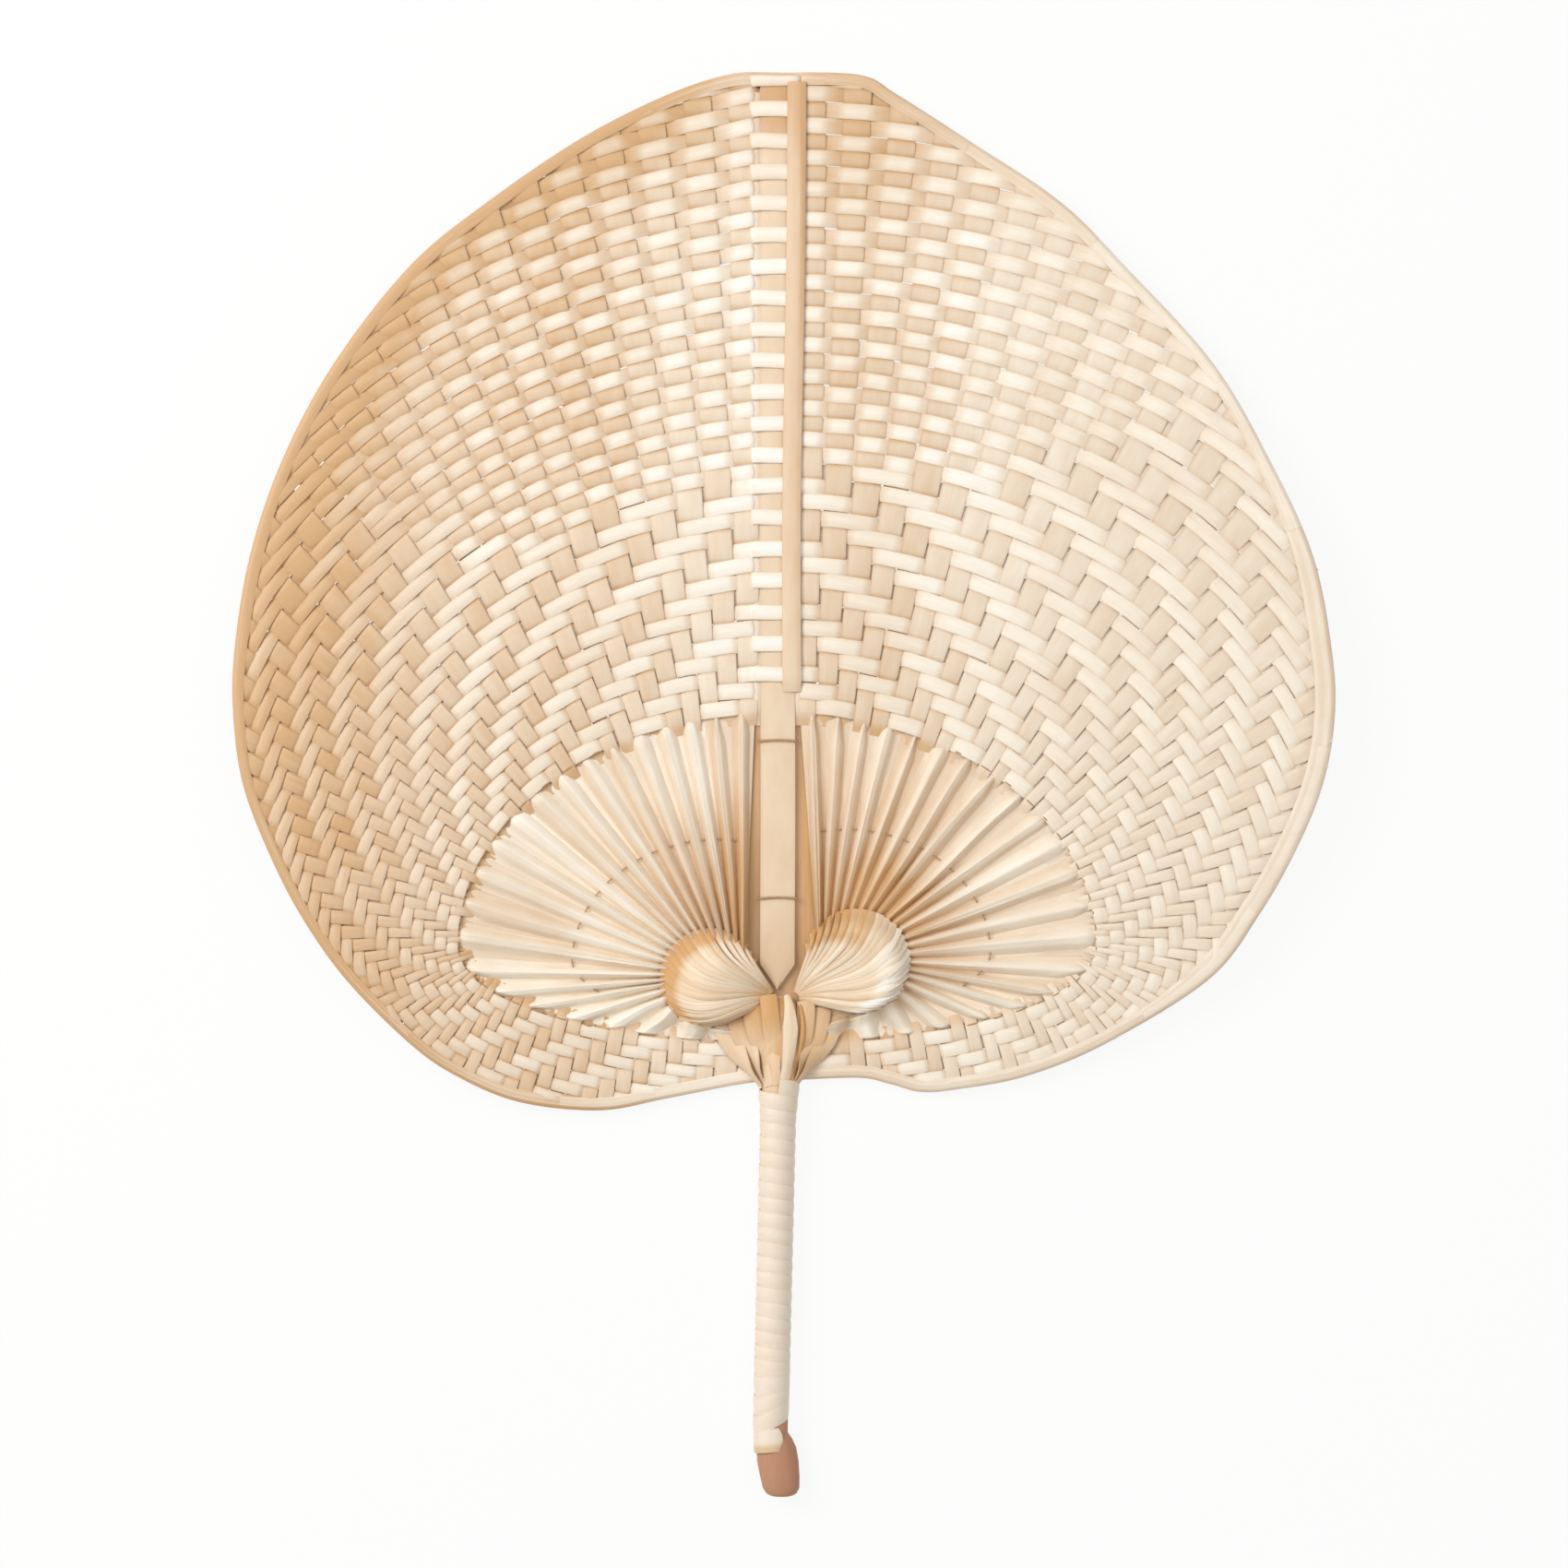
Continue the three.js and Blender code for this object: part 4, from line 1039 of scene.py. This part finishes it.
def stalk():
    """The stalk: a drum drawn out, flattened under the neck and rounded off at its cut end."""
    stations = []
    for share, wide, tall in HEAD_SHARES:
        y = HEAD_TOP_Y + (GRIP_TOP_Y - HEAD_TOP_Y) * share
        z = HEAD_TOP_Z + (GRIP_AXIS_Z - HEAD_TOP_Z) * share
        stations.append((GRIP_TOP_X * share, y, wide, tall, z))
    for share, wide, tall, drift in BUTT_SHARES:
        y = GRIP_BOTTOM_Y + (BUTT_END_Y - GRIP_BOTTOM_Y) * share
        stations.append((grip_axis_x(y) + BUTT_DRIFT * drift, y, wide, tall, GRIP_AXIS_Z))
    x, y, wide, tall, z = (stations_between(column, 4)[:, None] for column in zip(*stations))
    turn = np.linspace(0, math.tau, 33)
    points = stack(x + STALK_RADIUS * wide * np.cos(turn), y, z + STALK_RADIUS * tall * np.sin(turn))
    piece = lay_sheet(points, -y / 10, turn / math.pi - 1)
    bpy.ops.object.mode_set(mode="EDIT")
    bpy.ops.mesh.select_all(action="SELECT")
    bpy.ops.mesh.remove_doubles(threshold=0.01 * MM)
    bpy.ops.mesh.select_all(action="DESELECT")
    bpy.ops.mesh.select_non_manifold()
    bpy.ops.mesh.edge_face_add()
    bpy.ops.mesh.select_all(action="SELECT")
    bpy.ops.mesh.normals_make_consistent(inside=False)
    bpy.ops.object.mode_set(mode="OBJECT")
    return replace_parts(join([piece], "stalk_body", thick=0), "handle_stalk")


class Wire:
    """A node's output that arithmetic can be written with."""

    def __init__(self, finish, socket):
        self.finish, self.socket = finish, socket

    def __getitem__(self, output):
        """Another output of the same node, by its name or number."""
        return Wire(self.finish, self.socket.node.outputs[output])

    def maths(self, operation, first, second=0.0, clamp=False):
        sockets = {0: first, 1: second}
        return self.finish.node("ShaderNodeMath", sockets, operation=operation, use_clamp=clamp)

    def __add__(self, other):
        return self.maths("ADD", self, other)

    __radd__ = __add__

    def __sub__(self, other):
        return self.maths("SUBTRACT", self, other)

    def __rsub__(self, other):
        return self.maths("SUBTRACT", other, self)

    def __mul__(self, other):
        return self.maths("MULTIPLY", self, other)

    __rmul__ = __mul__

    def clamped(self):
        return self.maths("ADD", self, clamp=True)

    def absolute(self):
        return self.maths("ABSOLUTE", self)


class Finish:
    """The nodes of a material, or of the surround, under construction."""

    def __init__(self, owner):
        self.owner = owner
        owner.use_nodes = True
        self.tree = owner.node_tree
        self.tree.nodes.clear()

    def node(self, kind, sockets=None, **settings):
        """A new node: its settings come first, then the values or links of its sockets."""
        node = self.tree.nodes.new(kind)
        for key, value in settings.items():
            setattr(node, key, value)
        for key, value in (sockets or {}).items():
            if isinstance(value, Wire):
                self.tree.links.new(value.socket, node.inputs[key])
            else:
                node.inputs[key].default_value = value
        return Wire(self, node.outputs[0]) if node.outputs else None

    def mix(self, factor, first, second):
        return self.node("ShaderNodeMix", {0: factor, 6: first, 7: second}, data_type="RGBA")[2]

    def noise(self, vector, scale, detail=2.0, roughness=0.5):
        return self.node("ShaderNodeTexNoise", {
            "Vector": vector, "Scale": scale, "Detail": detail, "Roughness": roughness})

    def bump(self, height, strength, distance):
        return self.node("ShaderNodeBump", {"Height": height, "Strength": strength, "Distance": distance})

    def background_share(self):
        """1 for the rays that see the white background: the camera's, and those of gloss and glass."""
        path = self.node("ShaderNodeLightPath")
        return (path["Is Camera Ray"] + path["Is Glossy Ray"] + path["Is Transmission Ray"]).clamped()

    def surface(self, **sockets):
        """Ends a material in a plain surface."""
        sockets = {key.replace("_", " "): value for key, value in sockets.items()}
        return self.ended(self.node("ShaderNodeBsdfPrincipled", sockets))

    def ended(self, shader, kind="ShaderNodeOutputMaterial"):
        """Joins the shader to the output."""
        self.node(kind, {"Surface": shader})
        return self.owner


def colour(red, green, blue):
    """A colour as it looks on screen, given as 0 to 255."""
    parts = [c / 255 for c in (red, green, blue)]
    return tuple([c / 12.92 if c <= 0.04045 else ((c + 0.055) / 1.055) ** 2.4 for c in parts] + [1.0])


def leaf_finish(name, pale, gold, edge, fibre, roughness, fibre_scale=1.0):
    """Dried palm leaf: fibres along the strip, painted shade darkening each strip's edges, a painted
    highlight where the tone falls below 0, and its own shade a strip.
    """
    finish = Finish(bpy.data.materials.new(name))
    place = finish.node("ShaderNodeSeparateXYZ", {0: finish.node("ShaderNodeUVMap", uv_map="UVMap")})
    u, v = place["X"], place["Y"]
    tone, shade = (finish.node("ShaderNodeAttribute", attribute_name=label)["Fac"]
                   for label in ("tone", "shade"))
    fibres, blotches = (finish.node("ShaderNodeCombineXYZ", {0: u * along, 1: v * across, 2: shade * apart})
                        for along, across, apart in ((1.1, 5.5 * fibre_scale, 37.0), (0.55, 0.6, 91.0)))
    fibres = finish.noise(fibres, 2.2, detail=4.0, roughness=0.6)
    blotches = finish.noise(blotches, 1.6)
    warm = tone + (shade - 0.5) * 0.2 + (blotches - 0.5) * 0.4
    base = finish.mix(warm.clamped(), pale, gold)
    # Where the tone falls below 0 it turns to the near-white of a painted highlight
    base = finish.mix((warm * -3.0).clamped(), base, PAINTED_HIGHLIGHT)
    streak = ((fibres - 0.42) * 2.2).clamped()
    base = finish.mix(streak * 0.24, base, fibre)
    # Painted shade: each strip darkens towards its edges, where the strips meet
    rim = ((v.absolute() - 0.8) * 5.0).clamped()
    base = finish.mix(rim * 0.22, base, edge)
    normal = finish.bump(fibres * 0.7 + blotches * 0.3, strength=0.35, distance=0.0003)
    return finish.surface(Base_Color=base, Roughness=roughness + (fibres - 0.5) * 0.25, Normal=normal)


def stalk_finish(name, pale, warm, line):
    """The leaf's stalk: smooth, with fine long grain along it."""
    finish = Finish(bpy.data.materials.new(name))
    place = finish.node("ShaderNodeTexCoord")["Object"]
    long_grain, broad = (finish.node("ShaderNodeMapping", {"Vector": place, "Scale": scale})
                         for scale in ((900.0, 22.0, 900.0), (60.0, 14.0, 60.0)))
    grain = finish.noise(long_grain, 1.0, detail=3.0, roughness=0.6)
    patches = finish.noise(broad, 1.0)
    base = finish.mix(((patches - 0.35) * 1.8).clamped(), pale, warm)
    base = finish.mix(((grain - 0.5) * 1.6).clamped() * 0.5, base, line)
    normal = finish.bump(grain, strength=0.2, distance=0.0002)
    return finish.surface(Base_Color=base, Roughness=0.6 + (grain - 0.5) * 0.2, Normal=normal)


def thread_finish(name, pale, dark):
    """Twisted plant fibre: fine, dull and mottled."""
    finish = Finish(bpy.data.materials.new(name))
    grain = finish.noise(finish.node("ShaderNodeTexCoord")["Object"], 1800.0)
    return finish.surface(Base_Color=finish.mix(grain, pale, dark), Roughness=0.8)


WHITE = (1.0, 1.0, 1.0, 1.0)
FLOOR_WHITE = colour(244, 242, 238)
# The near-white of painted highlights
PAINTED_HIGHLIGHT = colour(255, 250, 242)
straw = leaf_finish(
    "straw", pale=colour(248, 237, 219), gold=colour(208, 166, 118), edge=colour(172, 130, 88),
    fibre=colour(216, 182, 140), roughness=0.48)
gold_straw = leaf_finish(
    "gold_straw", pale=colour(244, 226, 200), gold=colour(210, 160, 100), edge=colour(160, 112, 66),
    fibre=colour(200, 152, 98), roughness=0.5)
winding_straw = leaf_finish(
    "winding_straw", pale=colour(243, 228, 210), gold=colour(222, 190, 148), edge=colour(192, 156, 118),
    fibre=colour(218, 192, 158), roughness=0.42)
slat_cane = leaf_finish(
    "slat_cane", pale=colour(240, 220, 192), gold=colour(208, 162, 112), edge=colour(196, 156, 112),
    fibre=colour(224, 194, 154), roughness=0.4, fibre_scale=3.0)
stalk_brown = stalk_finish(
    "stalk", pale=colour(196, 144, 110), warm=colour(166, 112, 82), line=colour(132, 84, 60))
thread = thread_finish("thread", pale=colour(202, 166, 124), dark=colour(156, 120, 84))


def dress(pieces, material):
    """Gives pieces their finish and lets them ride on the fan's one body."""
    for piece in pieces:
        piece.data.materials.clear()
        piece.data.materials.append(material)
        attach(piece, "root")


dress(ribs(), straw)
dress(radials(), straw)
dress(hoops(), straw)
dress([rim_fold()], straw)
dress(map(boss_strips, halves), gold_straw)
for half in halves:
    dress([neck_leaves(half)], gold_straw)
    dress([twine(half)], thread)
dress([grip_winding()], winding_straw)
dress([neck_sheath()], gold_straw)
dress(edge_strips(), straw)
dress([stalk()], stalk_brown)
dress(slats(), slat_cane)
dress(side_leaves(), gold_straw)
dress(spine_ties(), thread)


def set_background():
    """A white floor that keeps the fan's shadow, and a white surround that lights it more dimly."""
    deselect()
    bpy.ops.mesh.primitive_plane_add(size=4, location=(0, 0, FLOOR_Z))
    floor = bpy.context.object
    floor.name = "floor"
    finish = Finish(bpy.data.materials.new("floor_white"))
    matt = finish.node("ShaderNodeBsdfDiffuse", {"Color": FLOOR_WHITE})
    glow = finish.node("ShaderNodeEmission", {"Color": WHITE, "Strength": 1.0})
    both = finish.node("ShaderNodeMixShader", {0: finish.background_share() * FLOOR_GLOW, 1: matt, 2: glow})
    floor.data.materials.append(finish.ended(both))

    world = bpy.context.scene.world = bpy.data.worlds.new("surround")
    finish = Finish(world)
    dim, white = (finish.node("ShaderNodeBackground", {"Color": WHITE, "Strength": strength})
                  for strength in (WORLD_STRENGTH, 1.0))
    both = finish.node("ShaderNodeMixShader", {0: finish.background_share(), 1: dim, 2: white})
    finish.ended(both, "ShaderNodeOutputWorld")


def set_lights():
    """Soft round lamps that aim at the middle of the blade."""
    for name, place, size, power in LIGHTS:
        data = bpy.data.lights.new(name, "AREA")
        data.shape = "DISK"
        data.size = size
        data.energy = power
        lamp = bpy.data.objects.new(name, data)
        lamp.location = place
        lamp.rotation_euler = (LIGHT_AIM - lamp.location).to_track_quat("-Z", "Y").to_euler()
        bpy.context.scene.collection.objects.link(lamp)


def set_camera():
    """A camera that looks straight down on the fan and fits its length into the frame."""
    low, high = cad_box
    middle = (low + high) / 2
    camera = bpy.data.objects.new("camera", bpy.data.cameras.new("camera"))
    bpy.context.scene.collection.objects.link(camera)
    camera.location = (middle.x, middle.y, CAMERA_HEIGHT)
    camera.data.sensor_width = SENSOR_WIDTH
    camera.data.lens = SENSOR_WIDTH * (CAMERA_HEIGHT - middle.z) / ((high.y - low.y) / FRAME_FILL)
    bpy.context.scene.camera = camera
    bpy.context.scene.view_settings.view_transform = "Standard"


set_background()
set_lights()
set_camera()
